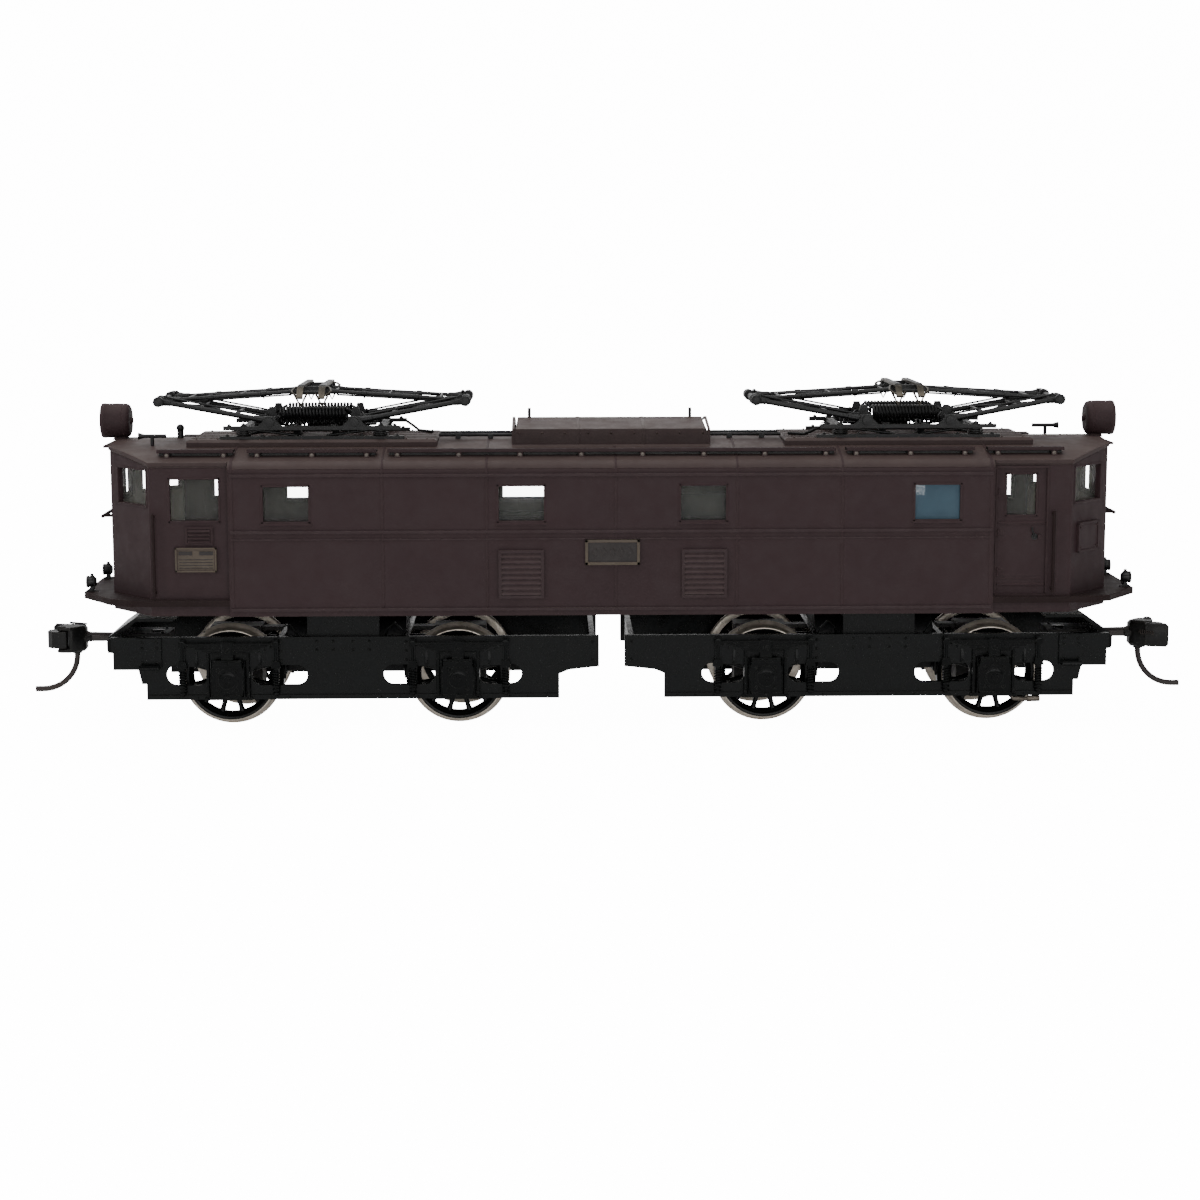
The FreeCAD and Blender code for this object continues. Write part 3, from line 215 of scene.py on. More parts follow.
# its pale edge colour is a painted highlight along the castings' edges, besides rubbed wear
CASTING_HIGHLIT = paint("casting_gloss_highlit", (0.0016, 0.0020, 0.0020), (0.0034, 0.0038, 0.0038), (0.075, 0.075, 0.07),
                (0.14, 0.26), 0.3, level=0.1, edge=0.00006)
COUPLER = paint("coupler_black", (0.0036, 0.0036, 0.0034), (0.0075, 0.007, 0.0066), (0.03, 0.026, 0.022),
                (0.35, 0.5), 0.3, level=0.22, edge=0.0003)
# the body brown with paler edges and much paler tops: painted highlight where light catches beading and louvre
# slats, besides wear
BEAD_HIGHLIT = paint("bead_brown_highlit", (0.0275, 0.0145, 0.0162), (0.0310, 0.0167, 0.0182), (0.105, 0.074, 0.071),
             (0.55, 0.7), 0.16, level=0.26, edge=0.00012, dust_and_top_light=0.8)
# the body brown at about half its lightness: painted shade for the end decks and their undersides, also used
# on the handrails
DECK_SHADE = paint("deck_brown_shaded", (0.0140, 0.0072, 0.0072), (0.0175, 0.0092, 0.0090), (0.05, 0.034, 0.032),
             (0.6, 0.75), 0.16, level=0.14, dust_and_top_light=0.15)
# walkway boards painted black as the shade along their edges and undersides; their upward faces are mixed
# fully to brown
WALKWAY_SHADE = paint("walkway_painted_shade", (0.0035, 0.0026, 0.0026), (0.0065, 0.0045, 0.0043), (0.036, 0.0225, 0.0215),
              (0.55, 0.7), 0.2, level=0.2, edge=0.00005, dust_and_top_light=1.0)
CASE = paint("blackened_case", (0.0045, 0.0038, 0.003), (0.009, 0.007, 0.005), (0.05, 0.036, 0.02),
             (0.4, 0.55))
WOUND = metal("motor_shell", (0.03, 0.03, 0.031), (0.018, 0.018, 0.018), (0.45, 0.6))
GLASS = sheet("window_sheet", (0.15, 0.155, 0.145), (0.21, 0.21, 0.19), 0.13, 0.06)
BLUE = sheet("blue_film", (0.0215, 0.056, 0.084), (0.0165, 0.046, 0.071), 0.97, 0.6)
LENS = sheet("lamp_lens", (0.5, 0.5, 0.45), (0.42, 0.42, 0.38), 0.5, 0.02)
CAB_X = 0.0685                       # the cab's inner walls lie beyond this, in metres


def pale_inside_cab(name, outside, inside):
    """The body paint with the cab's inward-facing walls painted pale: painted light standing in for the light
    seen through the far cab windows.
    """
    material = outside.copy()
    material.name = name
    tree = material.node_tree
    place = tree.nodes.new("ShaderNodeTexCoord").outputs["Object"]
    normal = tree.nodes.new("ShaderNodeNewGeometry").outputs["Normal"]
    split = tree.nodes.new("ShaderNodeSeparateXYZ")
    tree.links.new(place, split.inputs[0])
    level = calc(tree, "VectorMath", "MULTIPLY", place, (1, 1, 0))[0]
    outwards = calc(tree, "VectorMath", "NORMALIZE", level)[0]
    facing = calc(tree, "VectorMath", "DOT_PRODUCT", outwards, normal)["Value"]
    inward = calc(tree, "Math", "LESS_THAN", facing, -0.6)[0]
    from_middle = calc(tree, "Math", "ABSOLUTE", split.outputs["X"])[0]
    in_cab = calc(tree, "Math", "GREATER_THAN", from_middle, CAB_X)[0]
    # mask of the cab's inward-facing walls that get the painted light
    cab_inside_light = calc(tree, "Math", "MULTIPLY", in_cab, inward)[0]
    socket = tree.nodes["Principled BSDF"].inputs["Base Color"]
    tree.links.new(mixed(tree, cab_inside_light, socket.links[0].from_socket, inside), socket)
    return material


SHELL_PAINT = pale_inside_cab("body_brown_cab_inside_lit", BROWN, (0.5, 0.48, 0.4))

FINISH = {"body_shell": SHELL_PAINT, "roof": ROOF_LIT, "beading": BEAD_HIGHLIT, "louvres": BEAD_HIGHLIT, "plates": BROWN,
          "cab_doors": BROWN, "handrails": DECK_SHADE, "front_visors": BROWN, "glazing": GLASS, "blue_pane": BLUE,
          "headlights": BROWN, "headlight_lenses": LENS, "roof_monitor": ROOF_LIT, "walkways": WALKWAY_SHADE,
          "panto_boards": ROOF_LIT, "roof_fittings": BLACK, "end_decks": DECK_SHADE, "marker_lamps": BLACK,
          "floor_plate": UNDER, "kingpins": STEEL, "ballast": LEAD, "panto_bases": BLACK,
          "panto_insulators": BLACK}
for end in ("front", "rear"):
    for part in ("side_frames", "running_gear", "transoms"):
        FINISH[f"bogie_{end}_{part}"] = GLOSS
    FINISH.update({f"bogie_{end}_gearcases": CASE, f"bogie_{end}_motor": WOUND,
                   f"bogie_{end}_coupler_box": MATT, f"rotor_{end}": STEEL, f"coupler_{end}": COUPLER,
                   f"knuckle_{end}": COUPLER, f"panto_{end}_head": BLACK})
    for part in ("lower_outer", "lower_inner", "upper_outer", "upper_inner"):
        FINISH[f"panto_{end}_{part}"] = BLACK
for i in range(1, 5):
    FINISH.update({f"axle_{i}": BRASS, f"wheels_{i}": GLOSS})
for name, material in FINISH.items():
    mesh = NODES[name].data
    mesh.materials.clear()
    mesh.materials.append(material)


# ---------------------------------------------------------------- mesh kit, in millimetres
ALONG, ACROSS, OUTWARD, UP = (1, 0, 0), (0, 1, 0), (0, -1, 0), (0, 0, 1)
TIP = 0.004                          # the least radius of a turned shape, so that its tip keeps its ring


def even(middle, half):
    """A polygon that is the same both sides of `middle`, from its (half width, height) points."""
    return [(middle + w, z) for w, z in half] + [(middle - w, z) for w, z in reversed(half)]


class Work:
    """A mesh being built. Points pass through `at`; new faces take the material number `finish`."""

    def __init__(self):
        self.bm, self.at, self.finish = bmesh.new(), Matrix.Identity(4), 0

    def skin(self, rings, closed=False):
        """Join rings of points, each with the same count, into a capped skin, or a closed loop."""
        loops = [[self.bm.verts.new(self.at @ Vector(p)) for p in ring] for ring in rings]
        pairs = list(zip(loops, loops[1:])) + ([(loops[-1], loops[0])] if closed else [])
        count = len(loops[0])
        made = [self.bm.faces.new((a[i], a[(i + 1) % count], b[(i + 1) % count], b[i]))
                for a, b in pairs for i in range(count)]
        if not closed:
            made += [self.bm.faces.new(loops[0][::-1]), self.bm.faces.new(loops[-1])]
        for face in made:
            face.material_index = self.finish

    def block(self, x, y, z):
        """A bar with x, y and z as (low, high)."""
        self.skin([[(end, y[0], z[0]), (end, y[1], z[0]), (end, y[1], z[1]), (end, y[0], z[1])] for end in x])

    def prism(self, axis, points, low, high):
        """A polygon pushed along an axis; its points skip that axis."""
        skip = "xyz".index(axis)
        self.skin([[(*p[:skip], d, *p[skip:]) for p in points] for d in (low, high)])

    def lathe(self, origin, axis, profile, count=24, closed=False):
        """Turn (along, radius) points about an axis through origin."""
        origin, axis = Vector(origin), Vector(axis).normalized()
        side = axis.orthogonal().normalized()
        other = axis.cross(side)
        turns = [2 * math.pi * i / count for i in range(count)]
        rays = [side * math.cos(a) + other * math.sin(a) for a in turns]
        self.skin([[origin + axis * d + ray * max(r, TIP) for ray in rays] for d, r in profile], closed=closed)

    def rod(self, a, b, radius, tip=None):
        """A round bar from a to b with slightly broken ends."""
        a, b = Vector(a), Vector(b)
        tip = radius if tip is None else tip
        long, nip = (b - a).length, min(radius, tip, (b - a).length) * 0.18
        self.lathe(a, b - a, [(0, radius - nip), (nip, radius), (long - nip, tip), (long, tip - nip)], 14)

    def ball(self, centre, radius):
        """A ball, turned about the vertical."""
        arc = [math.pi * i / 8 for i in range(9)]
        self.lathe(centre, UP, [(-radius * math.cos(a), radius * math.sin(a)) for a in arc], 14)

    def wire(self, points, radius, count=8):
        """A round wire through points."""
        points = [Vector(p) for p in points]
        rings, side = [], None
        for i, p in enumerate(points):
            run = (points[min(i + 1, len(points) - 1)] - points[max(i - 1, 0)]).normalized()
            side = run.orthogonal() if side is None else side - run * side.dot(run)
            side.normalize()
            other = run.cross(side)
            rings.append([p + (side * math.cos(t) + other * math.sin(t)) * radius
                          for t in [2 * math.pi * k / count for k in range(count)]])
        self.skin(rings)

    def spring(self, a, b, radius, wire, turns):
        """A coil spring from a to b with straight hooks at its ends."""
        a, b = Vector(a), Vector(b)
        axis = (b - a).normalized()
        side = axis.orthogonal().normalized()
        other = axis.cross(side)
        steps = int(turns * 10)
        coil = [a.lerp(b, 0.08 + 0.84 * i / steps)
                + (side * math.cos(2 * math.pi * i / 10) + other * math.sin(2 * math.pi * i / 10)) * radius
                for i in range(steps + 1)]
        self.wire([a] + coil + [b], wire, 6)

    def bolt(self, at, axis, radius=0.28, height=0.2):
        """A hexagon head on a washer, with a domed stud end."""
        at, axis = Vector(at), Vector(axis).normalized()
        self.lathe(at, axis, [(0, radius * 1.35), (height * 0.25, radius * 1.3), (height * 0.25, radius)], 12)
        self.lathe(at + axis * height * 0.25, axis,
                   [(0, radius), (height * 0.6, radius), (height * 0.75, radius * 0.8)], 6)
        self.lathe(at + axis * height, axis, [(-0.05, radius * 0.5), (height * 0.3, radius * 0.45),
                                              (height * 0.45, radius * 0.2)], 8)

    def ribbon(self, path, wide, thick):
        """A flat strip whose middle follows (y, z) points, wide along X."""
        path = [Vector((0, *p)) for p in path]
        rings = []
        for i, p in enumerate(path):
            run = (path[min(i + 1, len(path) - 1)] - path[max(i - 1, 0)]).normalized()
            out = Vector((0, -run.z, run.y)) * thick / 2
            left, right = Vector((wide[0], 0, 0)), Vector((wide[1], 0, 0))
            rings.append([p + out + left, p + out + right, p - out + right, p - out + left])
        self.skin(rings)

    def again(self, matrix):
        """Copy everything built so far through a matrix."""
        everything = [*self.bm.verts, *self.bm.edges, *self.bm.faces]
        made = bmesh.ops.duplicate(self.bm, geom=everything)
        bmesh.ops.transform(self.bm, matrix=matrix,
                            verts=[g for g in made["geom"] if isinstance(g, bmesh.types.BMVert)])


SHARP_FROM, BEVEL_FROM = math.radians(38), math.radians(40)
HALF_TURN = Matrix.Rotation(math.pi, 4, "Z")
MIRROR_Y = Matrix.Scale(-1, 4, (0, 1, 0))


def piece(name, work, finishes, body, slot, bevel=0.0, replaces=(), turn=False):
    """Make the object, ride it on its body and give it its materials; the slot argument is not used."""
    bm = work.bm.copy()
    spin = HALF_TURN if turn else Matrix.Identity(4)
    bmesh.ops.transform(bm, matrix=Matrix.Scale(MM, 4) @ spin, verts=bm.verts)
    bmesh.ops.recalc_face_normals(bm, faces=bm.faces)
    for face in bm.faces:
        face.smooth = True
    mesh = bpy.data.meshes.new(name)
    bm.to_mesh(mesh)
    bm.free()
    for material in finishes:
        mesh.materials.append(material)
    mesh.set_sharp_from_angle(angle=SHARP_FROM)
    obj = bpy.data.objects.new(name, mesh)
    bpy.context.scene.collection.objects.link(obj)
    if bevel:
        mod = obj.modifiers.new("edges", "BEVEL")
        mod.width, mod.segments, mod.limit_method = bevel * MM, 2, "ANGLE"
        mod.angle_limit = BEVEL_FROM
    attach(obj, body)
    if replaces:
        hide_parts(*replaces)


def both_ends(name, work, finishes, body, slot, **more):
    """The same piece at the front and, turned half round, at the rear; {} in a name becomes the end."""
    taken = more.pop("replaces", ())
    for end in ("front", "rear"):
        piece(name.format(end), work, finishes, body.format(end), slot, turn=end == "rear",
              replaces=[n.format(end) for n in taken], **more)


# ---------------------------------------------------------------- body details
SIDE_Y, CAB_Y, ARCH_R, ARCH_Z, ROLL = 17.24, 16.4, 59.8, -16.2, 2.0
SHELL = "superstructure"


def arch_z(y, lift=0.0):
    """The height of the roof sheet at y."""
    return ARCH_Z + math.sqrt((ARCH_R + lift) ** 2 - y * y)


def over_the_top():
    """The main body's cross-section as (y, z) points, up one side, over the roof and down the other."""
    lift = 0.03                                                  # clear of the sheet
    roll_y = SIDE_Y - ROLL
    roll_z = ARCH_Z + math.sqrt((ARCH_R - ROLL) ** 2 - roll_y ** 2)
    end = math.atan2(roll_z - ARCH_Z, roll_y)
    half = [(-SIDE_Y - lift, 19.4), (-SIDE_Y - lift, 30.4), (-SIDE_Y - lift, roll_z)]
    half += [(-roll_y - (ROLL + lift) * math.cos(a), roll_z + (ROLL + lift) * math.sin(a))
             for a in [end * i / 7 for i in range(1, 8)]]
    half += [(y, arch_z(y, lift)) for y in (-14.5, -13, -11, -9, -7, -5, -3, -1.2)]
    return half + [(-y, z) for y, z in reversed(half)]


seams = Work()
for half, thick, places in ((0.16, 0.1, (-34.4, -18.8, 0.5, 18.7, 34.5)), (0.22, 0.12, (-56.9, 56.9))):
    for x in places:
        seams.ribbon(over_the_top(), (x - half, x + half), thick)
piece("panel_seams", seams, [BROWN], SHELL, "body_paint", bevel=0.03)

frames = Work()


def window_frame(x, z, rim=0.28, stand=0.09, sill=0.24):
    """A raised frame round an opening in the local XZ plane; -Y is outwards."""
    wide, tall = (x[0] - rim, x[1] + rim), (z[0] - rim, z[1] + rim)
    for a, b in (((wide[0], x[0]), tall), ((x[1], wide[1]), tall), (wide, (z[1], tall[1])),
                 (wide, (tall[0], z[0]))):
        frames.block(a, (-stand, 0.05), b)
    if sill:
        foot = tall[0]
        frames.prism("x", [(-sill, foot - 0.28), (0.02, foot - 0.34), (0.02, foot + 0.05),
                           (-sill, foot - 0.05)], wide[0] - 0.15, wide[1] + 0.15)


BOTH_SIDES = (Matrix.Identity(4), HALF_TURN)
for spin in BOTH_SIDES:
    frames.at = spin @ Matrix.Translation((0, -SIDE_Y, 0))
    for x in (-48.8, -13.65, 13.65, 48.8):
        window_frame((x - 3.37, x + 3.37), (32.4, 37.6))
    frames.at = spin @ Matrix.Translation((0, -CAB_Y, 0))
    window_frame((-66.1, -58.9), (32.5, 38.7), sill=0)
    frames.at = spin @ Matrix.Translation((0, -CAB_Y + 0.3, 0))
    window_frame((59.4, 63.8), (32.9, 39.0), 0.25, 0.07, 0)
CORNER = math.degrees(math.atan2(8.4, 7.1))


def corner_place(sx, sy):
    """Local axes on a slanted corner panel: X along it, -Y outwards, Z up."""
    turn = {(1, -1): CORNER, (-1, -1): -CORNER, (-1, 1): 180 + CORNER, (1, 1): 180 - CORNER}[sx, sy]
    spot = Vector((sx * (72.75 - 0.45), sy * (12.2 + 0.45 * 8.4 / 7.1), 0))
    return Matrix.Translation(spot) @ Matrix.Rotation(math.radians(turn), 4, "Z")


for sx in (1, -1):
    for sy in (1, -1):
        frames.at = corner_place(sx, sy)
        window_frame((-4.0, 4.0), (34.7, 40.0), 0.25, 0.08, 0)
piece("window_frames", frames, [BROWN], SHELL, "body_paint", bevel=0.03)

doors = Work()
for spin in BOTH_SIDES:
    doors.at = spin @ Matrix.Translation((0, -CAB_Y, 0))
    for x in (57.75, 65.5):                                      # jambs
        doors.block((x - 0.12, x + 0.12), (-0.12, 0.1), (20.9, 40.1))
    doors.block((57.6, 65.6), (-0.2, 0.1), (40.0, 40.3))
    doors.at = spin @ Matrix.Translation((0, -CAB_Y + 0.3, 0))
    for z in (22.2, 31.6):                                       # mouldings
        doors.prism("x", [(-0.16, z), (0.02, z - 0.08), (0.02, z + 0.34), (-0.16, z + 0.22)], 58.1, 65.3)
    for z in (24.2, 30.2, 36.4):                                 # hinges
        doors.rod((58.1, -0.16, z - 0.55), (58.1, -0.16, z + 0.55), 0.17)
        doors.block((58.1, 59.0), (-0.07, 0.02), (z - 0.3, z + 0.3))
    doors.finish = 1
    doors.lathe((63.7, 0, 29.6), OUTWARD, [(0, 0.5), (0.12, 0.46), (0.14, 0.2), (0.4, 0.18)], 16)
    doors.wire([(63.7, -0.36, 29.6), (63.55, -0.42, 30.0), (63.3, -0.45, 30.5), (63.25, -0.45, 31.1)], 0.14)
    doors.finish = 0
piece("door_fittings", doors, [BROWN, BLACK], SHELL, "body_paint", bevel=0.025)

gutters = Work()
outline = [(57.5, CAB_Y), (69.2, CAB_Y), (76.3, 8.0), (76.3, 4.0), (76.3, 0.0)]
outline += [(x, -y) for x, y in outline[3::-1]]
fine = []
for (x0, y0), (x1, y1) in zip(outline, outline[1:]):
    fine += [(x0 + (x1 - x0) * t, y0 + (y1 - y0) * t) for t in (0, 0.25, 0.5, 0.75)]
fine.append(outline[-1])
rings = []
for i, (x, y) in enumerate(fine):
    before, after = fine[max(i - 1, 0)], fine[min(i + 1, len(fine) - 1)]
    run = Vector((after[0] - before[0], after[1] - before[1])).normalized()
    out = Vector((-run.y, run.x))
    out = out if out.dot(Vector((x - 62, y))) > 0 else -out
    edge = arch_z(y)
    rings.append([(x + out.x * step, y + out.y * step, edge + rise)
                  for step, rise in ((-0.1, -0.62), (0.24, -0.56), (0.27, -0.08), (-0.1, 0.03))])
gutters.skin(rings)
gutters.again(HALF_TURN)
piece("cab_gutters", gutters, [ROOF_LIT], SHELL, "body_paint", bevel=0.04)

plates = Work()


def cast_plate(x, z, dark=False):
    """A worn cast border round a patterned field; -Y is outwards."""
    plates.finish = 0
    rim = 0.42 if dark else 0.28
    for a, b in (((x[0], x[0] + rim), z), ((x[1] - rim, x[1]), z), (x, (z[0], z[0] + rim)),
                 (x, (z[1] - rim, z[1]))):
        plates.block(a, (-0.44, -0.1), b)
    plates.finish = 1 if dark else 0
    plates.block((x[0] + rim, x[1] - rim), (-0.26, -0.02), (z[0] + rim, z[1] - rim))


for spin in BOTH_SIDES:
    plates.at = spin @ Matrix.Translation((0, -SIDE_Y, 0))
    cast_plate((-4.1, 4.1), (25.75, 29.57), True)
    plates.finish = 1
    for i in range(5):                                           # blank raised lozenges
        c = -2.6 + 1.3 * i
        plates.prism("y", [(c - 0.42, 27.66), (c, 26.95), (c + 0.42, 27.66), (c, 28.4)], -0.34, -0.2)
    plates.at = spin @ Matrix.Translation((0, -CAB_Y, 0))
    cast_plate((-65.5, -59.3), (24.8, 28.5))
    plates.finish = 1
    for x in ((-65.0, -62.9), (-61.9, -59.8)):
        plates.block(x, (-0.31, -0.2), (27.35, 27.95))
    for i in range(4):
        plates.block((-64.9, -59.9), (-0.29, -0.2), (25.35 + 0.42 * i, 25.5 + 0.42 * i))
    plates.finish = 2
    for i in range(4):                                           # small louvre plate
        z = 29.25 + 0.55 * i
        plates.prism("x", [(-0.5, z), (-0.28, z - 0.02), (-0.28, z + 0.3)], -63.5, -60.2)
piece("plate_castings", plates, [BRONZE, FIELD, BROWN], SHELL, "plate_paint", bevel=0.03)

corners = Work()
for sx, sy in ((1, -1), (-1, 1)):
    corners.at = corner_place(sx, sy)
    wide, tall = (-3.2, 3.2), (27.0, 31.5)
    for a, b in (((-3.2, -2.9), tall), ((2.9, 3.2), tall), (wide, (27.0, 27.3)), (wide, (31.2, 31.5))):
        corners.block(a, (-0.47, -0.3), b)
    for a in (-2.5, 2.5):
        for z in (27.7, 30.8):
            corners.bolt((a, -0.35, z), OUTWARD, 0.16, 0.12)
piece("corner_plate_borders", corners, [BROWN], SHELL, "plate_paint", bevel=0.025)

LAMP_Z = 46.35
lamps = Work()
lamps.lathe((74.3, 0, LAMP_Z), ALONG, [(0.0, 1.5), (0.02, 2.1), (0.22, 2.45), (0.6, 2.62), (0.95, 2.65),
                                       (1.0, 2.6), (1.1, 2.6), (1.15, 2.65), (3.75, 2.65), (3.82, 2.7),
                                       (4.1, 2.7), (4.4, 2.62), (4.45, 2.5), (4.4, 2.38), (3.9, 2.36),
                                       (3.7, 2.3), (3.0, 1.7), (2.6, 0.9), (2.5, 0.0)], 48)
lamps.lathe((73.95, 0, LAMP_Z), ALONG, [(0.0, 0.3), (0.05, 0.5), (0.4, 0.55), (0.4, 0.2)], 20)
lamps.rod((76.4, 0, 48.95), (76.4, 0, 49.0), 0.55, 0.45)
lamps.prism("y", [(74.7, 43.5), (77.1, 43.4), (76.7, 43.95), (76.45, 44.4), (75.3, 44.4), (75.0, 43.95)],
            -0.9, 0.9)
lamps.block((75.0, 76.8), (-1.5, 1.5), (43.45, 43.75))
for x, y in ((75.2, 1.2), (76.6, 1.2), (75.2, -1.2), (76.6, -1.2)):
    lamps.bolt((x, y, 43.75), UP, 0.16, 0.14)
lamps.finish = 1
lamps.lathe((76.82, 0, LAMP_Z), ALONG, [(0.0, 0.3), (0.15, 1.1), (0.5, 1.8), (0.95, 2.25), (1.0, 2.2),
                                        (0.6, 1.7), (0.3, 1.0), (0.2, 0.3)], 40)
lamps.ball((77.35, 0, LAMP_Z), 0.42)
lamps.again(HALF_TURN)
piece("headlight_cans", lamps, [BROWN, NICKEL], SHELL, "body_paint", replaces=["headlights"])

markers = Work()
for y in (-7.0, 7.0):
    markers.finish = 0
    markers.lathe((79.12, y, 22.1), ALONG, [(0.0, 0.3), (0.05, 0.62), (0.3, 0.8), (1.15, 0.85), (1.2, 0.93),
                                                (1.5, 0.9), (1.53, 0.72), (1.35, 0.7), (1.3, 0.0)], 24)
    markers.lathe((79.8, y, 22.85), UP, [(0.0, 0.4), (0.2, 0.38), (0.25, 0.22), (0.45, 0.28), (0.5, 0.1)], 14)
    markers.prism("y", [(79.3, 20.55), (80.7, 20.55), (80.6, 20.8), (80.15, 20.95), (80.1, 21.4),
                        (79.6, 21.4), (79.5, 20.95), (79.3, 20.8)], y - 0.4, y + 0.4)
    markers.wire([(79.5, y + 0.45, 20.9), (79.3, y + 0.75, 21.6), (79.35, y + 0.95, 22.3),
                  (79.6, y + 0.7, 22.8)], 0.1)
    markers.bolt((79.0, y, 20.6), UP, 0.16, 0.14)
    markers.finish = 1
    markers.lathe((80.35, y, 22.1), ALONG, [(0.0, 0.7), (0.06, 0.66), (0.16, 0.4), (0.2, 0.0)], 20)
markers.again(HALF_TURN)
piece("marker_lamp_bodies", markers, [BLACK, LENS], SHELL, "black_paint", replaces=["marker_lamps"])

walks = Work()
for x0, x1, props in ((56.7, 68.2, 2), (35.3, 54.7, 3), (-33.7, 33.7, 8), (-54.7, -35.3, 3),
                      (-68.2, -56.7, 2)):
    # a black strip under each board: painted shade standing for the shadow beneath the board
    walks.finish = 1
    walks.prism("x", [(-13.6, 41.6), (-13.35, 41.6), (-13.35, 42.5), (-13.9, 42.55), (-13.9, 42.45),
                      (-13.6, 42.4)], x0 + 0.2, x1 - 0.2)
    for c in [x0 + 1.5 + (x1 - x0 - 3.0) * i / (props - 1) for i in range(props)]:
        walks.finish = 0
        walks.prism("x", [(-14.75, 41.55), (-13.0, 41.7), (-13.0, 41.9), (-14.3, 41.95), (-14.35, 42.5),
                          (-14.5, 42.5), (-14.55, 42.0), (-14.8, 41.8)], c - 0.42, c + 0.42)
        walks.finish = 2
        walks.lathe((c, -14.5, 42.12), (0, -1, 0.15), [(0, 0.3), (0.1, 0.3), (0.2, 0.2), (0.24, 0.02)], 14)
    walks.finish = 0
    walks.block((x0, x1), (-14.66, -14.5), (42.5, 43.02))        # toe board
    for k in range(int((x1 - x0) / 2.4)):
        walks.block((x0 + 1.2 + 2.4 * k - 0.09, x0 + 1.2 + 2.4 * k + 0.09), (-14.55, -12.6), (42.93, 43.0))
walks.again(MIRROR_Y)
piece("walkway_brackets", walks, [BROWN, BLACK, BOLT], SHELL, "black_paint", bevel=0.025)

roofing = Work()
for x in (-14.9, -5.0, 5.0, 14.9):                               # hood bands
    band = [(8.9, 43.0), (8.9, 45.4), (0, 46.6), (-8.9, 45.4), (-8.9, 43.0)]
    roofing.prism("x", [(-9.06, 43.0), (-9.06, 45.52), (0, 46.76), (9.06, 45.52), (9.06, 43.0)] + band,
                  x - 0.22, x + 0.22)
for s in (1, -1):
    roofing.prism("x", [(s * 9.0, 42.6), (s * 9.35, 42.6), (s * 9.35, 42.85), (s * 9.0, 43.15)], -15.1, 15.1)
    for k in range(9):
        roofing.bolt((-14 + 3.5 * k, s * 9.02, 44.9), (0, s, 0), 0.14, 0.1)
    for k in range(12):                                          # board bolts
        for y in (-8.6, 8.6):
            roofing.bolt((s * (28.0 + 3.18 * k), y, 43.98), UP, 0.15, 0.12)
for s in (1, -1):
    for k in range(5):                                           # slats of the boards
        y = -6.4 + 3.2 * k
        roofing.block((s * 26.9, s * 64.1), (y - 0.1, y + 0.1), (43.94, 44.06))
piece("roof_details", roofing, [ROOF_LIT], SHELL, "body_paint", bevel=0.03)


# ---------------------------------------------------------------- wheels
AXLE_Z, HUB = 7.85, (0, 0, 0)
wheel = Work()
wheel.lathe(HUB, ACROSS, [(7.25, 6.6), (7.25, 7.45), (7.32, 7.7), (7.48, 7.84), (7.72, 7.84), (7.88, 7.7),
                          (7.98, 7.42), (8.1, 7.27), (8.3, 7.2), (9.9, 7.1), (10.04, 7.02), (10.08, 6.9),
                          (10.02, 6.6)], 96, closed=True)
wheel.finish = 1
wheel.lathe(HUB, ACROSS, [(7.3, 6.62), (7.4, 6.0), (7.9, 5.85), (9.3, 5.85), (9.5, 6.0), (9.62, 6.25),
                          (10.0, 6.35), (10.1, 6.5), (10.1, 6.86), (10.0, 6.9), (10.0, 6.62)], 96,
            closed=True)
wheel.lathe(HUB, ACROSS, [(7.2, 1.0), (7.2, 2.0), (7.4, 2.2), (9.8, 2.15), (10.0, 1.95), (10.2, 1.5),
                                   (10.25, 1.0)], 36, closed=True)
SPOKES = 12
oval = [2 * math.pi * k / 10 for k in range(10)]
for i in range(SPOKES):
    wheel.at = Matrix.Rotation(2 * math.pi * (i + 0.5) / SPOKES, 4, "Y")
    wheel.skin([[(wide * math.cos(a), 8.8 + deep * math.sin(a), r) for a in oval]
                for r, wide, deep in ((1.9, 0.58, 0.85), (2.6, 0.48, 0.72), (5.0, 0.38, 0.55),
                                      (5.6, 0.44, 0.6), (6.1, 0.8, 0.65))])
wheel.at = Matrix.Identity(4)
wheel.again(MIRROR_Y)
for i, x in enumerate((58.5, 23.5, -23.5, -58.5), 1):
    pair = Work()
    pair.bm = wheel.bm.copy()
    bmesh.ops.transform(pair.bm, matrix=Matrix.Translation((x, 0, AXLE_Z)), verts=pair.bm.verts)
    piece(f"spoked_wheels_{i}", pair, [NICKEL, GLOSS], f"wheelset_{i}", "wheel_metal",
          replaces=[f"wheels_{i}"])

